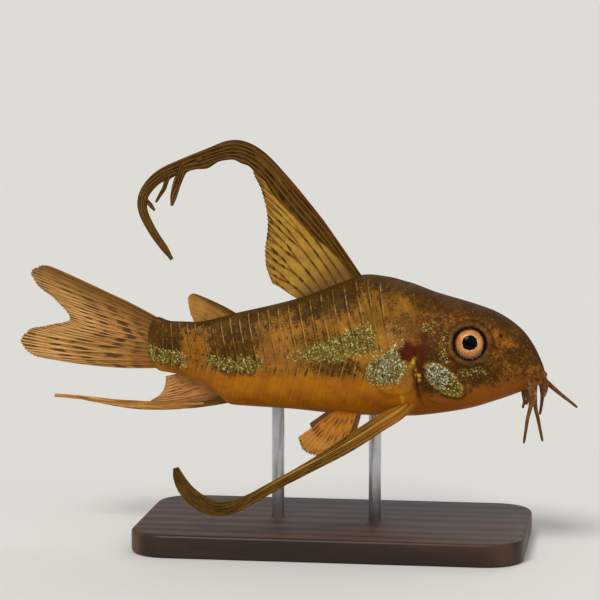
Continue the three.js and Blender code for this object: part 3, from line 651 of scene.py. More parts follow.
# Markings, the same on both sides. Ovals: x, z, half length, half height, softness, strength.
# Stretches: from x, to x, softness, then the same in shares of the height, strength.
markings = {
    "blotches": [  # from x, to x, softness, share of the height where it starts and is full, strength
        (-16.4, -9.2, 1.1, 0.27, 0.45, 0.86),
        (-25.6, -19.7, 0.8, 0.06, 0.26, 0.92),
        (-5.0, 4.4, 1.6, 0.66, 0.88, 0.98),
    ],
    "darkSpots": [
        (0.9, 6.9, 4.6, 1.2, 0.7, 0.84),  # under the bright band
        (-1.6, 10.3, 4.6, 1.5, 0.6, 0.55),  # above it
        (6.5, 13.6, 4.2, 3.0, 0.5, 0.32),  # behind the crown
        (24.4, 8.6, 2.6, 1.5, 0.35, 0.74),  # snout
        (17.4, 6.4, 4.6, 1.6, 0.35, 0.8),  # cheek
        (12.8, 7.2, 2.1, 3.4, 0.35, 1.0),  # gill cover
        (13.2, 11.4, 2.6, 1.6, 0.35, 0.5),  # behind the eye
        (9.2, 12.4, 1.6, 2.2, 0.35, 0.55),  # shoulder
    ],
    "darkStretches": [(-20, -16, 0.6, 0.25, 0.8, 0.1, 0.38), (-9.5, -5, 0.8, 0.35, 0.75, 0.1, 0.3)],
    "brightStretches": [
        (-16.3, -9.0, 0.8, 0.42, 0.54, 0.045, 0.78),
        (-25.3, -19.5, 0.8, 0.22, 0.45, 0.07, 0.7),
    ],
    "specks": [(14.6, 9.6, 0.9, 2.2, 0.35, 0.16), (18.0, 6.6, 1.8, 0.8, 0.35, 0.176),
               (12.6, 11.9, 1.2, 1.0, 0.35, 0.128), (8.2, 11.4, 1.6, 1.3, 0.35, 0.112)],
    "rosy": [(9.6, 11.6, 2.4, 1.5, 0.35, 0.8), (19.4, 7.4, 3.2, 0.9, 0.35, 0.4),
             (-6.2, 8.2, 2.4, 1.6, 0.35, 0.4)],
    "red": [(10.0, 9.1, 1.0, 1.35, 0.25, 1), (11.9, 8.6, 0.55, 2.6, 0.35, 0.75)],
    "orange": [(21.7, 11.0, 1.5, 0.8, 0.35, 0.8), (22.8, 10.0, 1.3, 0.5, 0.35, 0.8)],
    "orangeStretches": [(-19.4, -16.6, 0.4, 0.2, 0.75, 0.1, 0.8)],
    "gold": [(10.75, 7.75, 0.26, 0.5, 0.35, 1), (11.4, 5.85, 0.26, 0.5, 0.35, 1),
             (11.0, 6.9, 0.14, 0.3, 0.35, 1)],
    "goldLow": [(9.3, 2.9, 0.25, 0.6, 0.35, 0.7)],
}


def skinMarks(piece, points, share):
    # how much of each colour the skin has at each vertex
    x, z = points[:, 0], points[:, 2]
    wx = x + 0.45 * waver(x, z)
    wz = z + 0.3 * waver(z + 3, x)
    ws = share + 0.03 * waver(x * 1.3, z * 1.1)
    oval = inOval(x, z, head["opercle"])
    darkest = [band(wx, *row[:3]) * smoothstep(ws, *row[3:5]) * row[5]
               for row in markings["blotches"]]
    darkest += [
        spots(wx, wz, markings["darkSpots"]),
        stretches(wx, ws, markings["darkStretches"]),
        smoothstep(ws, 0.82, 0.97),  # along the back
        smoothstep(ws, 0.52, 0.86) * (1 - smoothstep(x, 8, 12)) * 0.5,
        smoothstep(x, 7, 12) * smoothstep(ws, crownEdge(x) - 0.07, crownEdge(x) + 0.06) * 0.9,
        (1 - smoothstep(oval, 1.0, 1.35)) * 0.95,  # round the bright oval
    ]
    note(piece, dark=np.max(darkest, 0))
    shoulder = smoothstep(depthInside(wx, wz, shoulderPatch), -0.75, 1.2)
    opercleMiddle = 1 - smoothstep(np.hypot((x - 15.1) / 1.8, (z - 4.9) / 0.75), 0.5, 1.1)
    glitter = [
        smoothstep(depthInside(wx, wz, bandPatch), -0.5, 1.3) * 0.9,
        stretches(wx, ws, markings["brightStretches"]),
        shoulder * 0.95,
        (1 - smoothstep(oval, 0.86, 1.0)) * (1.1 - 0.9 * opercleMiddle),
        spots(wx, wz, markings["specks"]),
    ]
    note(piece, glitter=np.max(glitter, 0))
    opercleTop = 1 - smoothstep(np.hypot(x - 13.6, z - 6.5), 1.1, 2.8)
    note(piece, silver=np.maximum(shoulder * 0.55, opercleTop))
    note(piece, amber=1 - smoothstep(z + 0.25 * waver(x, z) - bellyLine(x), -0.9, 0.55))
    # painted shadow in the groove of the gill slit, in the dark red tone
    slitShadow = gillSlit(x, z, 0.3) * smoothstep(z, 2.2, 3.6) * (1 - smoothstep(z, 9.4, 10.4)) * 0.9
    note(piece, red=np.maximum(spots(wx, wz, markings["red"]), slitShadow))
    note(piece, rosy=spots(wx, wz, markings["rosy"]))
    opercleEdge = ridge(oval, 0.96, 0.07) * (0.4 + 0.2 * waver(x * 2, z * 2))
    gold = [spots(wx, z, markings["gold"]), spots(x, wz, markings["goldLow"]), opercleEdge]
    note(piece, gold=np.max(gold, 0))
    orange = [spots(wx, wz, markings["orange"]), stretches(wx, ws, markings["orangeStretches"])]
    note(piece, orange=np.max(orange, 0))
    paleRing = np.zeros(len(x))
    darkRing = np.zeros(len(x))
    for side in (-1, 1):
        r, out = fromAxis(points, *flankSpot(*head["eye"], side))
        paleRing += np.where(out > -2.5, ridge(r, 2.55, 0.22), 0)
        inner = 1 - smoothstep(r, 2.1, 2.35)
        darkRing += np.where(out > -2.5, np.maximum(inner, 0.7 * ridge(r, 2.95, 0.2)), 0)
    note(piece, paleRing=paleRing, darkRing=darkRing, headSkin=smoothstep(x, 9.5, 12), share=share)


def makeSkin():
    piece, along, turn = ballSheet("fish_skin", body["rings"], body["segments"])
    stations = stationList()
    ring = np.round(along * body["rings"]).astype(int)
    inner = np.clip(ring, 1, body["rings"] - 1) - 1
    x, run = stations[inner].T
    x = np.where(ring == 0, body["tailEndX"], np.where(ring == body["rings"], body["snoutX"], x))
    level = skinPoint(x, turn)
    share = (level[:, 2] - belly(x)) / (back(x) - belly(x))
    place = np.minimum(x + chevron(x, share), body["snoutX"])
    part = run % 1
    rise = smoothstep(part, 0.0, 0.1) * (1 - part) ** 0.8
    onPlates = (run > 0) & (run < plates["count"])
    # the plates lie almost flat on the soft belly
    firm = 0.25 + 0.75 * smoothstep(level[:, 2] - bellyLine(x), -0.9, 0.3)
    lift = np.where(onPlates, plates["height"] * rise * plateCover(x, share) * firm, 0)
    points = skinPoint(place, turn, lift)
    # the flesh thins to a round wedge over the root of the tail fin
    wedgeFrom = plateEdge(0) + 0.2
    closing = np.clip((wedgeFrom - x) / (wedgeFrom - body["tailEndX"]), 0, 1)[:, None]
    middle = np.stack([x, sway(x), (back(x) + belly(x)) / 2], -1)
    wedge = np.concatenate([closing * 0, 1 - np.sqrt(1 - closing ** 1.6), closing ** 3 * 0.6], 1)
    points = points - (points - middle) * wedge
    points[ring == 0] = middle[ring == 0]
    points[ring == body["rings"], 1:] = middle[ring == body["rings"], 1:]
    setPoints(piece, points)
    outwards(piece)
    relief = headRelief(points)
    points = points + normalsOf(piece) * relief[:, None]
    setPoints(piece, points)
    trueShare = (points[:, 2] - belly(place)) / (back(place) - belly(place))
    skinMarks(piece, points, np.clip(trueShare, 0, 1.1))
    fadesOut = 1 - smoothstep(place, 6.5, 9.5)
    note(piece, plateRun=run, plateShow=np.where(onPlates, plateCover(x, share), 0) * fadesOut)
    return piece


skinTones = {
    "flank": ((170, 114, 38), (140, 92, 29)),
    "flankStreaks": (98, 62, 19),
    "rosy": (154, 96, 50),
    "head": ((84, 47, 14), (138, 88, 31)),
    "orange": (168, 102, 28),
    # the belly's amber, made brighter as painted light glowing through it
    "belly": ((188, 116, 16), (170, 98, 22)),
    "throat": (146, 80, 26),
    "bellyClouds": (146, 80, 18),
    "wash": ((104, 71, 22), (92, 56, 16)),  # on the flank, on the head
    "pigment": ((58, 36, 9), (84, 57, 18)),
    "deepPigment": (37, 23, 5),
    "strayDots": (54, 34, 11),
    "warmDots": ((176, 132, 58), (156, 110, 46)),  # on the flank, on the head
    "headPatches": (78, 42, 15),
    "underFlecks": (80, 60, 24),
    "greenFlecks": ((70, 56, 20), (144, 124, 52)),
    "greenerFlecks": (102, 112, 52),
    # painted glints on the brightest green flecks
    "fleckGlints": (222, 208, 126),
    "whiteFlecks": ((84, 70, 42), (146, 138, 98)),
    # painted glints on the brightest silver flecks
    "silverFleckGlints": (224, 236, 206),
    # partly dark pigment, partly painted shade at the foot of each plate edge
    "creasePigmentAndShade": (60, 38, 11),
    # pale plate edges, partly painted glints on them
    "plateLineAndGlint": (196, 152, 92),
    # dark red of the gills, also used as painted shadow in the gill slit
    "red": (82, 31, 13),
    "gold": (236, 190, 62),
    "paleRing": (104, 76, 42),
    "darkRing": (30, 19, 11),
}


def skinFinish():
    f = Finish("corySkin", skinTones, Coat_Roughness=0.25, Specular_IOR_Level=0.035)
    where = f.place()
    names = ("dark", "glitter", "silver", "amber", "headSkin", "plateRun", "plateShow")
    dark, glitter, silver, amber, onHead, run, show = [f.read(name) for name in names]
    broad = f.noise(where, 2.4, 3)
    mottle = f.noise(where, 0.8, 4)
    small = f.noise(where, 0.42, 3)
    speck = f.noise(where, 0.24, 3, 0.65)
    alongPlates = f.join(run * 3.2, f.read("share") * 9)
    streaks = f.rawNoise(alongPlates, 1.0, 4.0)
    part = run.fraction()
    clearFree = 1 - amber  # 0 on the clear belly and throat
    # golden-brown ground, rosier behind the head and mottled on it
    flank = f.pick(broad, 0.35, 0.65, "flank")
    flank = f.over(flank, f.ramp(streaks, 0.5, 0.68) * show * 0.75, "flankStreaks")
    flank = f.over(flank, f.read("rosy"), "rosy")
    ground = f.mix(onHead, flank, f.pick(mottle, 0.36, 0.6, "head"))
    ground = f.over(ground, f.read("orange"), "orange")
    # the belly's own amber, made brighter as painted light glowing through the thin belly
    clear = f.pick(broad, 0.3, 0.7, "belly")
    clear = f.over(clear, onHead * 0.8, "throat")
    clear = f.over(clear, f.ramp(mottle, 0.5, 0.7) * 0.35, "bellyClouds")
    ground = f.mix(amber, ground, clear)
    # dark pigment: blotches that break up into dots, and into streaks along the plates
    shade = f.pick(broad, 0.4, 0.6, "pigment")
    shade = f.over(shade, f.ramp(dark, 0.9, 1.05) * 0.6, "deepPigment")
    wash = f.ramp(dark + (broad - 0.5) * 0.5, 0.15, 0.8) * 0.74
    ground = f.mix(wash, ground, f.between(onHead, "wash"))
    uneven = (speck - 0.5) * 1.9 + (mottle - 0.5) * 0.9 + (streaks - 0.5) * show * 1.5
    ground = f.mix(f.ramp(dark * 0.95 + uneven, 0.4, 0.78) * 0.86, ground, shade)
    stray = f.ramp(speck, 0.58, 0.7) * (1 - amber * 0.92) * f.ramp(onHead, 0, 1, (0.6, 0.85))
    ground = f.over(ground, stray, "strayDots")
    warm = f.ramp(f.noise(where, 0.3, 3), 0.57, 0.68) * clearFree * f.ramp(onHead, 0, 1, (0.3, 0.7))
    warm = warm * f.ramp(dark, 0.8, 1.05, (1.0, 0.6))
    ground = f.mix(warm, ground, f.between(onHead, "warmDots"))
    patches = f.ramp(small, 0.46, 0.6) * onHead * clearFree * 0.68
    ground = f.over(ground, patches, "headPatches")
    # metallic flecks, each cell its own brightness, in slanting rows along the plates; the brightest
    # cells are painted glints
    cell = f.flecks(where, 0.15)
    green = f.pick(cell, 0.2, 0.6, "greenFlecks")
    green = f.over(green, f.ramp(f.noise(where, 0.7, 2), 0.48, 0.62) * 0.6, "greenerFlecks")
    green = f.over(green, f.ramp(cell, 0.78, 0.97), "fleckGlints")
    white = f.pick(cell, 0.2, 0.6, "whiteFlecks")
    white = f.over(white, f.ramp(cell, 0.7, 0.92), "silverFleckGlints")
    slant = (f.ramp(part, 0.5, 0.85) - 0.5) * show
    loose = (cell - 0.5) * 1.3 + (mottle - 0.5) * 0.9 + (speck - 0.5) * 0.7
    fleck = f.ramp(glitter + loose - slant * 0.6, 0.26, 0.7) * f.ramp(glitter, 0.02, 0.25)
    ground = f.over(ground, f.ramp(glitter, 0.1, 0.7) * 0.6, "underFlecks")
    ground = f.mix(fleck * 0.9, ground, f.mix(silver, green, white))
    # plate edges: thin pale lines that come and go, partly painted glints on the raised edges, and a
    # dark crease behind each, partly dark pigment and partly painted shade at the foot of the edge
    # the dark crease: partly pigment along the plate edges, partly painted shade at the foot of each
    # raised edge
    creasePigmentAndShade = f.ramp(part, 0.78, 0.97) * show * f.ramp(streaks, 0.36, 0.6, (0.2, 1.0))
    ground = f.over(ground, creasePigmentAndShade * (1 - amber * 0.85) * 0.68, "creasePigmentAndShade")
    # thin pale lines on the raised plate edges, partly their own pale colour, partly painted glints
    line = (1 - f.ramp(part, 0.07, 0.15)) * f.ramp(part, 0.0, 0.04) * show
    line = line * f.ramp(f.noise(where, 1.3, 3), 0.38, 0.62, (0.1, 1.0))
    line = line * (1 - amber * 0.94) * (1 - glitter * 0.5) * f.ramp(dark, 0.1, 0.6, (0.4, 0.8))
    ground = f.over(ground, line, "plateLineAndGlint")
    # small marks, each broken up a little
    gold = f.read("gold") * f.ramp(mottle, 0.36, 0.52)
    # dark red gill patches, and painted shadow along the gill slit
    ground = f.over(ground, f.read("red") * f.ramp(mottle, 0.3, 0.5, (0.75, 1.0)), "red")
    ground = f.over(ground, gold, "gold")
    paleRing = f.read("paleRing") * f.ramp(mottle, 0.3, 0.6, (0.25, 0.75))
    ground = f.over(ground, paleRing, "paleRing")
    darkRing = f.read("darkRing") * f.ramp(speck, 0.3, 0.5, (0.8, 1.0))
    ground = f.over(ground, darkRing, "darkRing")
    height = speck * 0.5 + cell * (0.15 + glitter * 0.8) + mottle * 0.6
    return f.finish(
        Base_Color=ground,
        Metallic=(fleck * 0.4).larger(gold * 0.5),
        Roughness=0.5 - fleck * 0.14 + (speck - 0.5) * 0.15,
        Coat_Weight=amber * 0.06,
        Normal=f.bump(height, 0.5, 0.08),
    )


skin = makeSkin()
dress(skin, skinFinish(), "skin", "head", "torso", "tail_stem")
print("skin", len(skin.data.polygons), "faces")


# eyes

eyes = {
    "depth": 0.76,
    "sunk": 0.72,
    "dome": (0.05, 1.2),
    "rings": 64,
    "segments": 96,
    "copper": ((206, 122, 52), (234, 160, 88)),
    "copperPale": (232, 180, 122),
    "copperDark": (112, 58, 28),
    "copperInner": (238, 196, 148),
    "copperOuter": (158, 84, 52),
    "black": (2, 2, 2),
    "rim": ((30, 20, 13), (72, 48, 26)),
    # painted highlights low on the ring round the iris
    "rimLowHighlight": (150, 140, 124),
}


def makeEye(name, side):
    piece, along, turn = ballSheet(f"fish_{name}", eyes["rings"], eyes["segments"])
    spot, outward = flankSpot(*head["eye"], side)
    acrossWay = unit(np.cross(outward, [0, 0, 1.0]))
    upWay = np.cross(acrossWay, outward)
    radius = head["eyeRadius"]
    r = radius * np.sin(along * math.pi)
    high = radius * eyes["depth"] * np.cos(along * math.pi)
    # the clear front stands up over the iris in a slightly tighter dome
    domeHeight, domeRadius = eyes["dome"]
    high = high + domeHeight * ridge(r, 0, domeRadius) * (along < 0.5)
    centre = spot - outward * eyes["sunk"]
    rimWay = np.cos(turn)[:, None] * acrossWay + np.sin(turn)[:, None] * upWay
    points = centre + r[:, None] * rimWay + high[:, None] * outward
    setPoints(piece, points)
    offPole = r > 0.01
    note(piece, fromMiddle=r + np.where(along > 0.5, 10, 0), aroundX=np.cos(turn) * offPole,
         aroundY=np.sin(turn) * offPole)
    return piece


def eyeFinish():
    f = Finish("coryEye", eyes, Roughness=0.3, Specular_IOR_Level=0.03, Coat_Weight=0.1,
               Coat_Roughness=0.04)
    where = f.place()
    r, up = f.read("fromMiddle"), f.read("aroundY")
    streak = f.rawNoise(f.join(f.read("aroundX") * 2.6, up * 2.6, r * 0.35), 5.0, 4.0)
    fine = f.noise(where, 0.18, 3)
    blotchy = f.noise(where, 0.6, 2)
    copper = f.pick(streak, 0.35, 0.65, "copper")
    copper = f.over(copper, f.ramp(blotchy, 0.5, 0.62) * 0.55, "copperPale")
    copper = f.over(copper, f.ramp(fine, 0.54, 0.68) * 0.75, "copperDark")
    copper = f.over(copper, (1 - f.ramp(r, 1.0, 1.25)) * 0.55, "copperInner")
    copper = f.over(copper, f.ramp(r, 1.35, 1.75) * 0.6, "copperOuter")
    # the pupil's edge isn't quite round, and the ring outside is brown with painted highlights low
    # down
    edge = r + (blotchy - 0.5) * 0.35
    colour = f.mix(f.ramp(edge, 0.93, 1.01), tone(*eyes["black"]), copper)
    rim = f.pick(fine, 0.4, 0.6, "rim")
    rim = f.over(rim, f.ramp(0 - up, 0.25, 0.85) * f.ramp(fine, 0.44, 0.56), "rimLowHighlight")
    colour = f.mix(f.ramp(r + (fine - 0.5) * 0.4, 1.66, 1.78), colour, rim)
    metal = f.ramp(r, 0.97, 1.05) * (1 - f.ramp(r, 1.65, 1.8)) * 0.3
    return f.finish(Base_Color=colour, Metallic=metal, Normal=f.bump(streak, 0.25, 0.04))


eyeMaterial = eyeFinish()
for eyeName, eyeSide in (("eye_right", -1), ("eye_left", 1)):
    dress(makeEye(eyeName, eyeSide), eyeMaterial, "eye", eyeName)
print("eyes")


# fins

thinnest = 0.06


def rayness(u, t, width=0.13, forks=(0.34, 0.66)):
    # 1 on a ray and 0 on the skin between; each ray forks twice on its way to the edge
    off = (u + 0.5) % 1 - 0.5
    first = smoothstep(t, forks[0], forks[0] + 0.3) * 0.24
    second = smoothstep(t, forks[1], forks[1] + 0.25) * 0.11
    best = np.zeros(len(u))
    for a in (-1, 1):
        for b in (-1, 1):
            away = off - a * first - b * second
            away = (away + 0.5) % 1 - 0.5
            best = np.maximum(best, np.exp(-(away / (width * (1 - 0.45 * t))) ** 2))
    return best


def rayFan(name, fin):
    # a fan of rays from a root line to a margin; fin gives them as functions of the share across
    rays = fin["rays"]
    columns = (rays - 1) * fin.get("columnsEach", 12)
    piece, across, along = flatSheet(name, columns, fin.get("rows", 64))
    u = across * (rays - 1)
    root, tip = fin["root"](across), fin["tip"](across)
    knee = (root + tip) / 2 + fin["bow"](across)
    ray = rayness(u, along, fin.get("rayWidth", 0.13), fin.get("forks", (0.34, 0.66)))
    # the skin between rays stops a little short, and here and there it is split
    frayed = fin.get("fray", 0.04)
    wild = 0.5 + 0.5 * np.sin(u * 7.3 + 1.3) * np.sin(u * 2.9)
    reach = 1 - frayed * (1 - ray) * (0.6 + wild) * (along > 0.98)
    t = (along * reach)[:, None]
    points = (1 - t) ** 2 * root + 2 * t * (1 - t) * knee + t ** 2 * tip
    ripple = fin.get("ripple", 0.12) * np.sin(u * 2.2 + along * 5) * along * (0.3 + 0.7 * along)
    points[:, 1] += ripple
    setPoints(piece, points)
    note(piece, ray=ray, along=along, across=across, rayCount=u)
    thickness = fin["skin"] + (fin["crest"] * (1 - 0.55 * along) - fin["skin"]) * ray
    thicken(piece, np.maximum(thickness, thinnest))
    return piece


def softened(line, reach):
    # the same line with its corners rounded
    def at(t):
        t = np.asarray(t, float)
        near = np.linspace(-1, 1, 9) * reach
        room = np.minimum(1, np.minimum(t, 1 - t) / reach)
        return sum(line(t + step * room) for step in near) / len(near)
    return at


def ribbon(name, fin):
    # rays grown together along a line; fin gives the line, its width and the way across
    ridges = fin["ridges"]
    piece, across, along = flatSheet(name, ridges * 12, fin.get("rows", 110))
    line = fin["line"]
    middle = line(along)
    tangent = tangentOf(line, along)
    way = fin.get("acrossWay", flatAcross)(along, tangent)
    points = middle + way * (fin["width"](along) * (across - 0.5))[:, None]
    u = across * ridges + 0.5
    # the outer rays wander a little, so the edges are uneven
    wander = np.sin(along * 31 + 2) * np.sin(along * 13.7)
    wander = wander + 0.5 * np.sin(along * 83) * np.sin(along * 19)
    ragged = fin.get("ragged", 0.0) * wander * (across < 0.3) * (1 - smoothstep(along, 0.62, 0.85))
    points = points - way * (ragged * (0.3 - across) / 0.3)[:, None]
    winding = 0.22 * np.sin(along * 11 + across * 3) + 0.1 * np.sin(along * 29)
    ray = rayness(u + winding, along * 0.6, 0.2)
    normal = unit(np.cross(tangent, way))
    wave = fin.get("ripple", 0.08) * np.sin(across * 6 + along * 9)
    points = points + normal * wave[:, None]
    setPoints(piece, points)
    note(piece, ray=ray, along=along, across=across, rayCount=u)
    rimThin = 0.35 + 0.65 * smoothstep(np.minimum(across, 1 - across), 0.0, 0.12)
    thickness = (fin["skin"] + (fin["crest"] * (1 - 0.5 * along) - fin["skin"]) * ray) * rimThin
    thicken(piece, np.maximum(thickness, thinnest))
    return piece


def finFinish(name, tones, bars, clear, edgeAt=None, spineAt=None):
    # bars: how many along the fin, how dark, how far they spread, and 1 on the rays or 0 between them
    f = Finish(name, tones, Roughness=0.55, Specular_IOR_Level=0.04, Coat_Roughness=0.3)
    where = f.place()
    ray, along, across = f.read("ray"), f.read("along"), f.read("across")
    mottle = f.noise(where, 1.3, 3)
    speck = f.noise(where, 0.35, 3, 0.6)
    onRod = f.ramp(ray, 0.35, 0.8)
    membrane = f.pick(mottle, 0.35, 0.65, "skin")
    rod = f.pick(along, 0.1, 0.8, "rays")
    colour = f.mix(onRod * f.ramp(mottle, 0.3, 0.55, (0.55, 1.0)), membrane, rod)
    count, strength, spread, onRays = bars
    counted = f.join(f.read("rayCount"), along * count * 0.5)
    patchy = f.rawNoise(counted, 1.9, 1.0)
    barRow = (along * count + f.rawNoise(counted, 0.8, 1.0) * 1.3).fraction()
    dashes = f.ramp(barRow, 0.12, 0.3) * (1 - f.ramp(barRow, 0.62, 0.84))
    dashes = dashes * f.ramp(patchy, 0.5 - spread, 0.6 - spread)
    dashes = dashes * (f.ramp(ray, 0.15, 0.5) if onRays else 1 - f.ramp(ray, 0.3, 0.8))
    dashes = dashes * f.ramp(along, 0.1, 0.2) * strength
    colour = f.over(colour, dashes, "dash")
    joint = (along * 46).fraction()
    colour = f.over(colour, f.ramp(joint, 0.8, 0.95) * onRod * 0.25, "dash")
    if "root" in tones:
        colour = f.over(colour, (1 - f.ramp(along, 0.04, 0.3)) * 0.8, "root")
    solid = (onRod * (clear[1] - clear[0]) + clear[0]).larger(dashes * 0.97)
    if edgeAt:
        rimmed = 1 - f.ramp(across + (speck - 0.5) * 0.06, *edgeAt)
        colour = f.over(colour, rimmed * 0.85, "edge")
        solid = solid.larger(rimmed)
    if spineAt:
        middle, half, ends = spineAt
        away = across - middle
        near = away.maths("ABSOLUTE", away)
        onSpine = (1 - f.ramp(near, half * 0.5, half)) * (1 - f.ramp(along, ends * 0.6, ends))
        colour = f.over(colour, onSpine * 0.9, "spine")
        solid = solid.larger(onSpine)
    colour = f.over(colour, f.ramp(speck, 0.6, 0.75) * 0.3, "dash")
    return f.finish(
        Base_Color=colour,
        Alpha=solid,
        Coat_Weight=ray * 0.01,
        Normal=f.bump(speck * 0.4 + joint * 0.1, 0.3, 0.05),
    )


def backRoot(fromX, toX, way, inset):
    # roots along the back, +1, or the belly, -1, sunk a little into the skin
    def at(s):
        x = fromX + (toX - fromX) * s
        edge = back(x) if way > 0 else belly(x)
        return np.stack([x, sway(x), edge - way * inset], -1)
    return at


dorsal = {
    "rays": 9,
    "columnsEach": 20,
    "rows": 96,
    "root": backRoot(3.4, -4.5, 1, 0.35),
    "tip": route([-11.1, 0.1, 34.7], [-10.75, 0.1, 33], [-10.8, 0.1, 31.2], [-9.9, 0, 29.5],
                 [-9.1, 0, 27], [-8.8, 0, 24], [-9.1, 0, 21], [-8.9, 0, 18.6], [-8.1, 0, 16.7]),
    "bow": lambda s: np.stack([0.9 * (1 - s), 0 * s, 1.9 * (1 - s)], -1),
    "skin": 0.16,
    "crest": 0.62,
    "fray": 0.03,
    "forks": (0.42, 0.74),
    "finish": {
        "name": "dorsalFin",
        # the membrane's yellow-brown is made brighter as painted light shining through it
        "tones": {"skin": ((198, 150, 50), (176, 128, 40)), "rays": ((92, 57, 20), (128, 86, 32)),
                  "dash": (72, 46, 15), "edge": (84, 53, 20), "root": (124, 82, 28)},
        "bars": (6.0, 0.92, 0.08, 1),
        "edgeAt": (0.03, 0.14),
        "clear": (0.86, 0.98),
    },
}
caudal = {
    "rays": 14,
    "columnsEach": 14,
    "rows": 90,
    "root": lambda s: np.stack([np.full(len(s), -22.9), np.full(len(s), float(sway(-22.9))),
                                11.55 + (5.3 - 11.55) * s], -1),
    "tip": route([-37.2, 3, 17.75], [-39.6, 3.7, 18.1], [-40.9, 3.9, 17.2], [-40.2, 3.7, 15.9],
                 [-37.6, 3.1, 13.8], [-35.4, 2.6, 11.3], [-38.4, 2.9, 10.35], [-41.2, 3.2, 9.6],
                 [-42.3, 3.3, 8.2], [-41.4, 3.1, 6.9], [-37.6, 2.6, 5.9]),
    "bow": lambda s: np.stack([0 * s, 0 * s - 0.2, 0.5 - 1.4 * s], -1),
    "skin": 0.14,
    "crest": 0.6,
    "fray": 0.012,
    "forks": (0.3, 0.6),
    "finish": {
        "name": "caudalFin",
        "tones": {"skin": ((188, 132, 64), (164, 113, 52)), "rays": ((190, 126, 54), (226, 176, 108)),
                  "dash": (94, 62, 27), "edge": (132, 91, 40), "root": (152, 96, 32)},
        "bars": (5.0, 0.95, 0.1, 0),
        "edgeAt": (0.08, 0.3),
        "clear": (0.88, 0.97),
    },
}
adipose = {
    "rays": 4,
    "columnsEach": 12,
    "rows": 40,
    "root": backRoot(-12.6, -18.3, 1, 0.3),
    "tip": route([-18.0, 0.52, 15.0], [-18.75, 0.57, 15.1], [-19.2, 0.6, 14.7], [-19.2, 0.6, 13.7],
                 [-18.9, 0.58, 12.4]),
    "bow": lambda s: np.stack([0 * s, 0 * s, 0.35 - 0.3 * s], -1),
    "skin": 0.2,
    "crest": 0.42,
    "fray": 0.0,
    "ripple": 0.05,
    "finish": {
        "name": "adiposeFin",
        "tones": {"skin": ((192, 138, 66), (170, 118, 54)), "rays": ((152, 104, 44), (182, 130, 64)),
                  "dash": (88, 58, 22), "edge": (84, 56, 20)},
        "bars": (2.0, 0.3, 0.0, 0),
        "edgeAt": (0.1, 0.34),
        "clear": (0.92, 0.98),
    },
}
anal = {
    "rays": 7,
    "columnsEach": 16,
    "rows": 70,
    "root": backRoot(-13.4, -20, -1, 0.3),
    "tip": route([-25.9, 1.4, -0.2], [-24.4, 1.2, 0.9], [-23, 1, 1.9], [-22.4, 0.9, 3.2],
                 [-22.3, 0.9, 4.2]),
    "bow": lambda s: np.stack([0 * s, 0 * s, -0.9 * (1 - s)], -1),
    "skin": 0.14,
    "crest": 0.55,
    "fray": 0.03,
    "ripple": 0.06,
    "finish": {
        "name": "analFin",
        "tones": {"skin": ((200, 136, 68), (176, 114, 54)), "rays": ((188, 126, 54), (222, 166, 100)),
                  "dash": (108, 70, 32), "edge": (104, 70, 28)},
        "bars": (4.0, 0.5, 0.0, 0),
        "edgeAt": (0.14, 0.34),
        "clear": (0.88, 0.96),
    },
}


def flatAcross(t, tangent):
    return unit(np.stack([tangent[:, 2], 0 * t, -tangent[:, 0]], -1))


streamerLine = softened(route(
    [3.1, 0, 17.7], [-0.5, 0, 21.9], [-4.35, 0.02, 26.3], [-8.0, 0.05, 30.4], [-9.8, 0.08, 32.3],
    [-11.6, 0.1, 33.5], [-13.2, 0.2, 33.85], [-15.8, 0.5, 33.1],
    [-18.45, 0.9, 32.2], [-20.75, 1.3, 31.3], [-22.9, 1.5, 30.35],
    [-24.35, 1.6, 29.1], [-25.45, 1.6, 27.35], [-25.5, 1.5, 26.05], [-24.75, 1.3, 24.4],
    [-23.5, 1, 22.35], [-22.3, 0.8, 20.85], [-21.4, 0.7, 19.5]), 0.028)
streamers = {
    "dorsal_streamer_main": {
        "nodes": ("dorsal_streamer", "dorsal_streamer_tip"),
        "line": streamerLine,
        "width": profile([0, 0.7], [0.1, 1.7], [0.2, 2.5], [0.34, 2.85], [0.42, 2.8], [0.48, 2.75],
                         [0.56, 2.15], [0.63, 1.85], [0.72, 1.6], [0.8, 1.3], [0.9, 1.1], [0.96, 0.95],
                         [1, 0.35]),
        "ridges": 5,
        "rows": 300,
        "skin": 0.34,
        "crest": 0.85,
        "ragged": 0.26,
    },
    "dorsal_streamer_long": {
        "nodes": ("dorsal_streamer",),
        "line": route([-17.2, 0.8, 32.3], [-18.3, 0.9, 31.9], [-19.75, 0.9, 31.3], [-20.5, 0.8, 29.8],
                      [-21, 0.6, 28.1], [-21.3, 0.3, 26.5]),
        "width": profile([0, 1.5], [0.5, 1.15], [0.85, 0.85], [1, 0.3]),
        "ridges": 3,
        "skin": 0.16,
        "crest": 0.45,
    },
    "dorsal_streamer_short": {
        "nodes": ("dorsal_streamer",),
        "line": route([-19.4, 1.2, 31.5], [-20.6, 1.3, 31.1], [-21.7, 1.3, 30.4], [-22.5, 1.2, 28.6],
                      [-23.5, 1, 26.9]),
        "width": lambda t: 1.0 - 0.7 * t,
        "ridges": 2,
        "skin": 0.16,
        "crest": 0.42,
    },
    "dorsal_streamer_side": {
        "nodes": ("dorsal_streamer_tip",),
        "line": route([-25.2, 1.5, 28.0], [-25.1, 1.5, 27.3], [-24.5, 1.4, 26.7], [-23.7, 1.2, 25.8]),
        "width": lambda t: 0.95 - 0.65 * t,
        "ridges": 2,
        "rows": 60,
        "skin": 0.16,
        "crest": 0.4,
    },
}
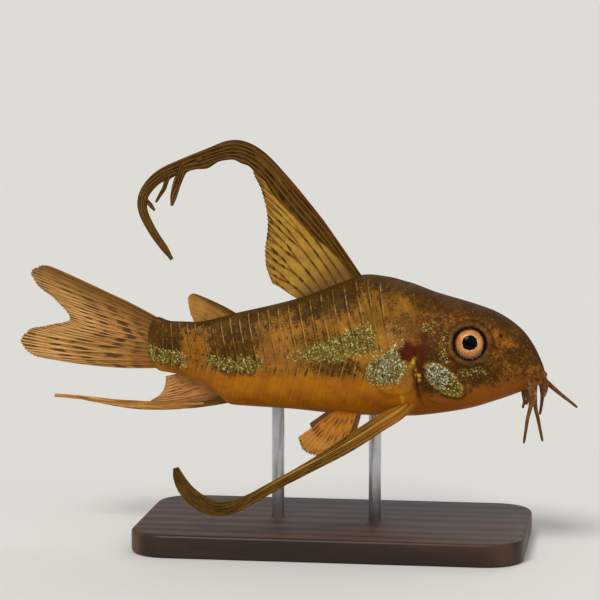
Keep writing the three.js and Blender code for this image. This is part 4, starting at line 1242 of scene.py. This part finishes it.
thread = {
    "line": route([-17.2, 0.55, 0.75], [-20, 0.8, 0.42], [-23, 1.1, 0.26], [-26.2, 1.45, 0.25],
                  [-28.3, 1.7, 0.35], [-31.5, 2.1, 0.65], [-35, 2.7, 0.95], [-37.6, 3.1, 1.05]),
    "width": profile([0, 0.3], [0.2, 1.0], [0.42, 1.1], [0.7, 0.7], [1, 0.28]),
    "ridges": 2,
    "skin": 0.3,
    "crest": 0.42,
    "finish": {
        "name": "analThread",
        "tones": {"skin": ((194, 136, 64), (166, 112, 50)), "rays": ((188, 134, 66), (212, 160, 94)),
                  "dash": (96, 62, 27)},
        "bars": (6.0, 0.5, 0.0, 0),
        "clear": (0.94, 1.0),
    },
}
streamerFinish = {
    "name": "dorsalStreamer",
    "tones": {"skin": ((98, 66, 23), (74, 48, 15)), "rays": ((130, 90, 34), (122, 84, 32)),
              "dash": (48, 30, 9), "spine": (120, 60, 27)},
    "bars": (16.0, 0.7, 0.05, 0),
    "clear": (0.95, 1.0),
    "spineAt": (0.93, 0.07, 0.45),  # where across, half its width, where along it ends
}


def makeFan(name, fin):
    dress(rayFan("fish_" + name, fin), finFinish(**fin["finish"]), "fin", name)


def makeFins():
    makeFan("dorsal_fin", dorsal)
    streamerLook = finFinish(**streamerFinish)
    for name, fin in streamers.items():
        dress(ribbon("fish_" + name, fin), streamerLook, "fin", *fin["nodes"])
    makeFan("caudal_fin", caudal)
    makeFan("adipose_fin", adipose)
    makeFan("anal_fin", anal)
    dress(ribbon("fish_anal_thread", thread), finFinish(**thread["finish"]), "fin", "anal_thread")


makeFins()
print("middle fins")

# the paired fins: the pectorals are long ribbons behind a strong spine
pectoral = {
    "right": {
        "side": -1,
        "droop": 0.36,
        "turnAt": 0.3,
        "fin": [[10.9, -4.4, 2.9], [10.1, -5.5, 2.1], [9.3, -6.2, 1.5], [6.9, -7.4, 0.1],
                [3.9, -8.7, -1.8], [1.2, -9.6, -3.4], [-1.6, -10.4, -4.95], [-3.3, -10.75, -5.9]],
        "end": [[-3.75, -10.85, -6.15], [-5.3, -11.1, -7], [-7.4, -11.3, -8.2], [-9.5, -11.4, -9.4],
                [-11.3, -11.4, -10.3], [-13.2, -11.3, -10.65], [-15, -11.1, -10.3],
                [-16.6, -10.8, -9.4], [-17.8, -10.4, -8.3], [-18.6, -10, -7.1], [-19.1, -9.6, -5.9]],
    },
    "left": {
        "side": 1,
        "droop": 0.1,
        "turnAt": 0.6,
        "fin": [[10.9, 4.5, 2.6], [10.1, 5.6, 1.9], [9.3, 6.2, 1.5], [6.2, 8.2, 1.2],
                [2.4, 10.4, 0.9], [-2.2, 12.3, 0.8], [-5.8, 13.3, 0.8]],
        "end": [[-6.25, 13.4, 0.8], [-9.6, 14.2, 0.8], [-13.2, 14.7, 0.9], [-16.4, 14.7, 1.5],
                [-18.6, 14.2, 2.7], [-19.7, 13.6, 4.2]],
    },
}
pectoralShape = {
    "skin": 0.2,
    "crest": 0.7,
    "ridges": 6,
    "rows": 260,
    "ripple": 0.1,
    "finWidth": [[0, 1.0], [0.1, 2.0], [0.28, 3.45], [0.55, 3.8], [0.85, 2.8], [1, 2.3]],
    "endWidth": [[0.12, 2.05], [0.3, 2.0], [0.52, 1.7], [0.7, 2.1], [0.86, 1.8], [0.95, 1.25],
                 [1, 0.6]],
}
pectoralFinish = {
    "name": "pectoralFin",
    "tones": {"skin": ((112, 78, 28), (84, 56, 19)), "rays": ((148, 102, 34), (94, 66, 25)),
              "dash": (54, 34, 11), "spine": (202, 144, 52), "root": (162, 106, 34)},
    "bars": (9.0, 0.75, 0.07, 0),
    "clear": (0.98, 1.0),
    "spineAt": (0.42, 0.07, 0.72),
}
pelvicFinish = {
    "name": "pelvicFin",
    "tones": {"skin": ((204, 134, 50), (178, 114, 40)), "rays": ((222, 146, 48), (200, 134, 52)),
              "dash": (92, 54, 20), "root": (206, 124, 36)},
    "bars": (3.0, 0.7, 0.03, 0),
    "clear": (0.82, 0.95),
}


def lengthOf(points):
    return float(np.sum(np.linalg.norm(np.diff(np.array(points, float), axis=0), axis=1)))


def pectoralFin(name, shape):
    # the fin and its streamer are one ribbon here, with the joint between the two solids inside it
    points = shape["fin"] + shape["end"]
    split = lengthOf(shape["fin"]) / lengthOf(points)
    widths = [[w[0] * split, w[1]] for w in pectoralShape["finWidth"]]
    widths += [[split + w[0] * (1 - split), w[1]] for w in pectoralShape["endWidth"]]
    side = shape["side"]
    level = unit(np.array([0.3, side * 0.9, -shape["droop"]]))

    def acrossWay(t, tangent):
        past = (t - split) / (1 - split)
        turned = smoothstep(past, shape["turnAt"], shape["turnAt"] + 0.35)[:, None]
        return unit(level * (1 - turned) - flatAcross(t, tangent) * turned)
    own = {"line": route(*points), "width": profile(*widths), "acrossWay": acrossWay}
    return ribbon(name, {**pectoralShape, **own})


pelvic = {
    "rays": 7,
    "columnsEach": 14,
    "rows": 60,
    "rootAt": (3.4, 1, 3.7),  # from x, to x, how far from the middle
    "skin": 0.13,
    "crest": 0.5,
    "fray": 0.05,
    "ripple": 0.1,
}


def pelvicFin(name, side):
    def root(s):
        fromX, toX, out = pelvic["rootAt"]
        x = fromX + (toX - fromX) * s
        return np.stack([x, np.full(len(s), side * out), undersideAt(x, out) + 0.35], -1)

    def bow(s):
        return np.stack([0 * s, 0 * s + side * 0.6, 0 * s + 0.1], -1)
    tip = route([2.1, side * 5.7, -3.5], [0.6, side * 6, -4.3], [-1.5, side * 6, -4.6],
                [-3.4, side * 5.8, -4], [-4.1, side * 5.3, -2.4])
    return rayFan(name, {**pelvic, "root": root, "tip": tip, "bow": bow})


pectoralLook = finFinish(**pectoralFinish)
pelvicLook = finFinish(**pelvicFinish)
for word, shape in pectoral.items():
    nodes = (f"pectoral_fin_{word}", f"pectoral_streamer_{word}")
    dress(pectoralFin("fish_" + nodes[0], shape), pectoralLook, "fin", *nodes)
    node = f"pelvic_fin_{word}"
    dress(pelvicFin("fish_" + node, shape["side"]), pelvicLook, "fin", node)
print("paired fins")


# barbels, and the folds of skin at the corners of the mouth that carry them

barbels = {
    "barbel_right_rear": [[25.5, -4.4, 5.0], [25.45, -4.95, 3.8], [25.4, -5.2, 2.2],
                          [25.1, -5.3, 0.9], [24.85, -5.3, -0.85], [24.6, -5.2, -2.5]],
    "barbel_right_front": [[25.6, -3.8, 5.0], [25.8, -3.8, 3.8], [25.95, -3.8, 2], [26.3, -3.7, 0.45],
                           [26.55, -3.6, -0.85], [26.9, -3.5, -2.5]],
    "barbel_left_rear": [[26.6, 0.1, 4.8], [26.65, 0.1, 3.75], [26.6, 0.3, 2.6], [26.45, 0.45, 1.2],
                         [26.3, 0.5, 0.3]],
    "barbel_left_front": [[26.7, 0.7, 4.8], [27.4, 1.2, 4.15], [28.1, 1.5, 3.5], [29.05, 1.9, 2.65],
                          [30.1, 2.4, 1.75], [31, 2.8, 0.95]],
    "barbel_chin_right": [[24.3, -2.7, 4.4], [24.4, -2.9, 3.35], [24.5, -3.1, 2.5],
                          [24.3, -3.3, 1.7]],
    "barbel_chin_left": [[24.5, -1.0, 4.4], [24.6, -0.9, 3.35], [24.8, -0.7, 2.5], [24.6, -0.5, 1.7]],
}
barbelSize = {
    "root": 0.45,
    "tip": 0.16,
    "chinRoot": 0.4,
    "chinTip": 0.16,
    "rings": 120,
    "segments": 20,
    "blunt": 24,
    "ripple": 0.035,
    "ripples": 150,
}
barbelTones = {"skin": ((104, 66, 24), (136, 90, 42)), "end": (84, 52, 24), "speck": (64, 38, 16),
               "ring": (86, 56, 32)}
mouthFolds = {
    "right": [[24.2, -1.9, 6.8], [25.1, -3.0, 6.0], [25.5, -3.9, 5], [25.6, -4.4, 4.1],
              [25.6, -4.65, 3.1], [25.65, -4.6, 2.1]],
    "left": [[25.0, -0.8, 6.5], [25.9, -0.5, 5.9], [26.5, 0.15, 5.0], [26.75, 0.45, 4.1],
             [26.75, 0.5, 3.2], [26.6, 0.5, 2.4]],
}
foldSize = {
    "rings": 60,
    "segments": 32,
    "blunt": 8,
    "thick": profile([0, 0.3], [0.3, 0.5], [0.7, 0.46], [1, 0.3]),
    "wide": profile([0, 0.36], [0.25, 0.62], [0.5, 0.78], [0.78, 0.62], [1, 0.38]),
    "facing": np.array([[0.62, 0.78, 0]]),
}
foldTones = {"upper": ((84, 52, 19), (130, 84, 36)), "lower": ((96, 62, 32), (160, 124, 84)),
             "speck": (70, 44, 24)}


def tubeOn(name, line, thick, wide, acrossWay, size):
    # a ball drawn out along a line; thick and wide are its half sizes for a share of the way
    piece, along, turn = ballSheet(name, size["rings"], size["segments"])
    middle = line(along)
    way = tangentOf(line, along)
    side = unit(acrossWay - way * np.sum(way * acrossWay, axis=1, keepdims=True))
    other = np.cross(way, side)
    # both ends are round
    closing = np.sqrt(np.clip(1 - (np.abs(along - 0.5) * 2) ** size["blunt"], 0, 1))
    points = (middle + side * (wide(along) * closing * np.cos(turn))[:, None]
              + other * (thick(along) * closing * np.sin(turn))[:, None])
    setPoints(piece, points)
    note(piece, along=along)
    return piece


def makeBarbel(name, points):
    chin = "chin" in name
    rootSize = barbelSize["chinRoot" if chin else "root"]
    tipSize = barbelSize["chinTip" if chin else "tip"]

    def radius(t):
        # a slow taper with faint rings, as feelers have
        rings = 1 + barbelSize["ripple"] * np.sin(t * barbelSize["ripples"])
        return (rootSize + (tipSize - rootSize) * np.sqrt(t)) * rings

    return tubeOn("fish_" + name, route(*points), radius, radius, np.array([[0, 1.0, 0]]), barbelSize)


def makeFold(word, points):
    return tubeOn(f"fish_mouth_fold_{word}", route(*points), foldSize["thick"], foldSize["wide"],
                  foldSize["facing"], foldSize)


def barbelFinish():
    f = Finish("coryBarbel", barbelTones, Roughness=0.48, Specular_IOR_Level=0.06, Coat_Weight=0.04)
    where = f.place()
    along = f.read("along")
    speck = f.noise(where, 0.22, 3)
    colour = f.pick(f.noise(where, 0.8, 3), 0.35, 0.65, "skin")
    colour = f.over(colour, f.ramp(along, 0.55, 1.0) * 0.6, "end")
    colour = f.over(colour, f.ramp(speck, 0.55, 0.68) * 0.6, "speck")
    ringed = (along * 24).fraction()
    colour = f.over(colour, f.ramp(ringed, 0.75, 0.95) * 0.25, "ring")
    return f.finish(Base_Color=colour, Normal=f.bump(speck + ringed * 0.3, 0.4, 0.06))


def foldFinish():
    f = Finish("coryMouthFold", foldTones, Roughness=0.48, Specular_IOR_Level=0.06, Coat_Weight=0.06)
    where = f.place()
    mottle = f.noise(where, 0.6, 4)
    speck = f.noise(where, 0.24, 3)
    lower = f.pick(mottle, 0.38, 0.62, "lower")
    upper = f.pick(mottle, 0.35, 0.65, "upper")
    colour = f.mix(f.ramp(f.read("along"), 0.45, 0.75), upper, lower)
    colour = f.over(colour, f.ramp(speck, 0.55, 0.68) * 0.7, "speck")
    return f.finish(Base_Color=colour, Normal=f.bump(speck + mottle, 0.4, 0.08))


barbelMaterial = barbelFinish()
foldMaterial = foldFinish()
for name, points in barbels.items():
    dress(makeBarbel(name, points), barbelMaterial, "barbel", name)
for word, points in mouthFolds.items():
    dress(makeFold(word, points), foldMaterial, "skin", "head")
print("barbels and mouth folds")


# the display stand

stand = {
    "length": 50,
    "width": 27,
    "thickness": 3,
    "corner": 5,
    "bevel": 0.5,
    "rodRadius": 0.8,
    "rodAt": {"front": 5.2, "rear": -7.4},
    "rodBevel": 0.12,
    "sunk": (0.2, 0.15),  # how far a rod runs into the board and into the belly
    "wood": ((40, 25, 16), (84, 54, 34)),
    "redder": (58, 34, 20),
    "pores": (24, 15, 10),
    "steel": ((186, 188, 190), (206, 207, 208)),
}


def makeBase():
    size = (stand["length"] * mm, stand["width"] * mm, stand["thickness"] * mm)
    bpy.ops.mesh.primitive_cube_add(size=1, location=(0, 0, size[2] / 2))
    piece = named("stand_board")
    points = pointsOf(piece) * size + (0, 0, size[2] / 2)
    piece.location = (0, 0, 0)
    setMetres(piece, points)
    group = piece.data.attributes.new("bevel_weight_edge", "FLOAT", "EDGE")
    upright = []
    for edge in piece.data.edges:
        a, b = (piece.data.vertices[i].co for i in edge.vertices)
        upright.append(1.0 if abs(a.z - b.z) > size[2] / 2 else 0.0)
    group.data.foreach_set("value", upright)
    applyModifier(piece, "BEVEL", width=stand["corner"] * mm, segments=12, limit_method="WEIGHT")
    applyModifier(piece, "BEVEL", width=stand["bevel"] * mm, segments=4, limit_method="ANGLE",
                  angle_limit=math.radians(40))
    return piece


def woodFinish():
    f = Finish("darkWood", stand, Roughness=0.5, Coat_Roughness=0.25, Specular_IOR_Level=0.3)
    where = f.place()
    # the grain runs along the board
    stretched = f.node("ShaderNodeMapping", None, {"Vector": where, "Scale": (0.12, 1.0, 1.0)})
    wander = f.noise(where, 16, 2)
    grain = f.noise(stretched, 1.6, 5, 0.6)
    pores = f.noise(stretched, 0.28, 3, 0.6)
    rings = f.node("ShaderNodeTexWave", {"bands_direction": "Y"},
                   {"Vector": stretched, "Scale": 90.0, "Distortion": 5.0, "Detail": 2.0})
    colour = f.pick(rings * 0.6 + grain * 0.5, 0.2, 0.85, "wood")
    colour = f.over(colour, f.ramp(wander, 0.3, 0.7) * 0.3, "redder")
    colour = f.over(colour, f.ramp(pores, 0.6, 0.72) * 0.6, "pores")
    return f.finish(Base_Color=colour, Coat_Weight=0.08 + grain * 0.06,
                    Normal=f.bump(pores * 0.6 + grain * 0.4, 0.25, 0.08))


def makeRod(word, x):
    low = stand["thickness"] - stand["sunk"][0]
    high = bellyHeight + float(belly(x)) + stand["sunk"][1]
    bpy.ops.mesh.primitive_cylinder_add(vertices=48, radius=stand["rodRadius"] * mm,
                                        depth=(high - low) * mm)
    piece = named(f"stand_pin_{word}")
    setMetres(piece, pointsOf(piece) + (x * mm, 0, (high + low) / 2 * mm))
    applyModifier(piece, "BEVEL", width=stand["rodBevel"] * mm, segments=3, limit_method="ANGLE",
                  angle_limit=math.radians(60))
    return piece


def steelFinish():
    f = Finish("brushedSteel", stand, Metallic=1.0)
    where = f.place()
    # rubbed along the rod
    rubbed = f.node("ShaderNodeMapping", None, {"Vector": where, "Scale": (1.0, 1.0, 0.05)})
    lines = f.noise(rubbed, 0.12, 3)
    colour = f.pick(f.noise(where, 2.5, 2), 0.3, 0.7, "steel")
    return f.finish(Base_Color=colour, Roughness=0.24 + lines * 0.16,
                    Normal=f.bump(lines, 0.15, 0.02))


def makeStand():
    board = makeBase()
    board.data.materials.append(woodFinish())
    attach(board, "root")
    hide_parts("stand_base")
    pieces = [board]
    steel = steelFinish()
    for word, x in stand["rodAt"].items():
        pin = makeRod(word, x)
        pin.data.materials.append(steel)
        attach(pin, "root")
        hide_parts(f"stand_rod_{word}")
        pieces.append(pin)
    for piece in pieces:
        bpy.context.view_layer.objects.active = piece
        piece.select_set(True)
        bpy.ops.object.shade_smooth_by_angle(angle=math.radians(35))
        bpy.ops.object.select_all(action="DESELECT")


makeStand()
print("stand")
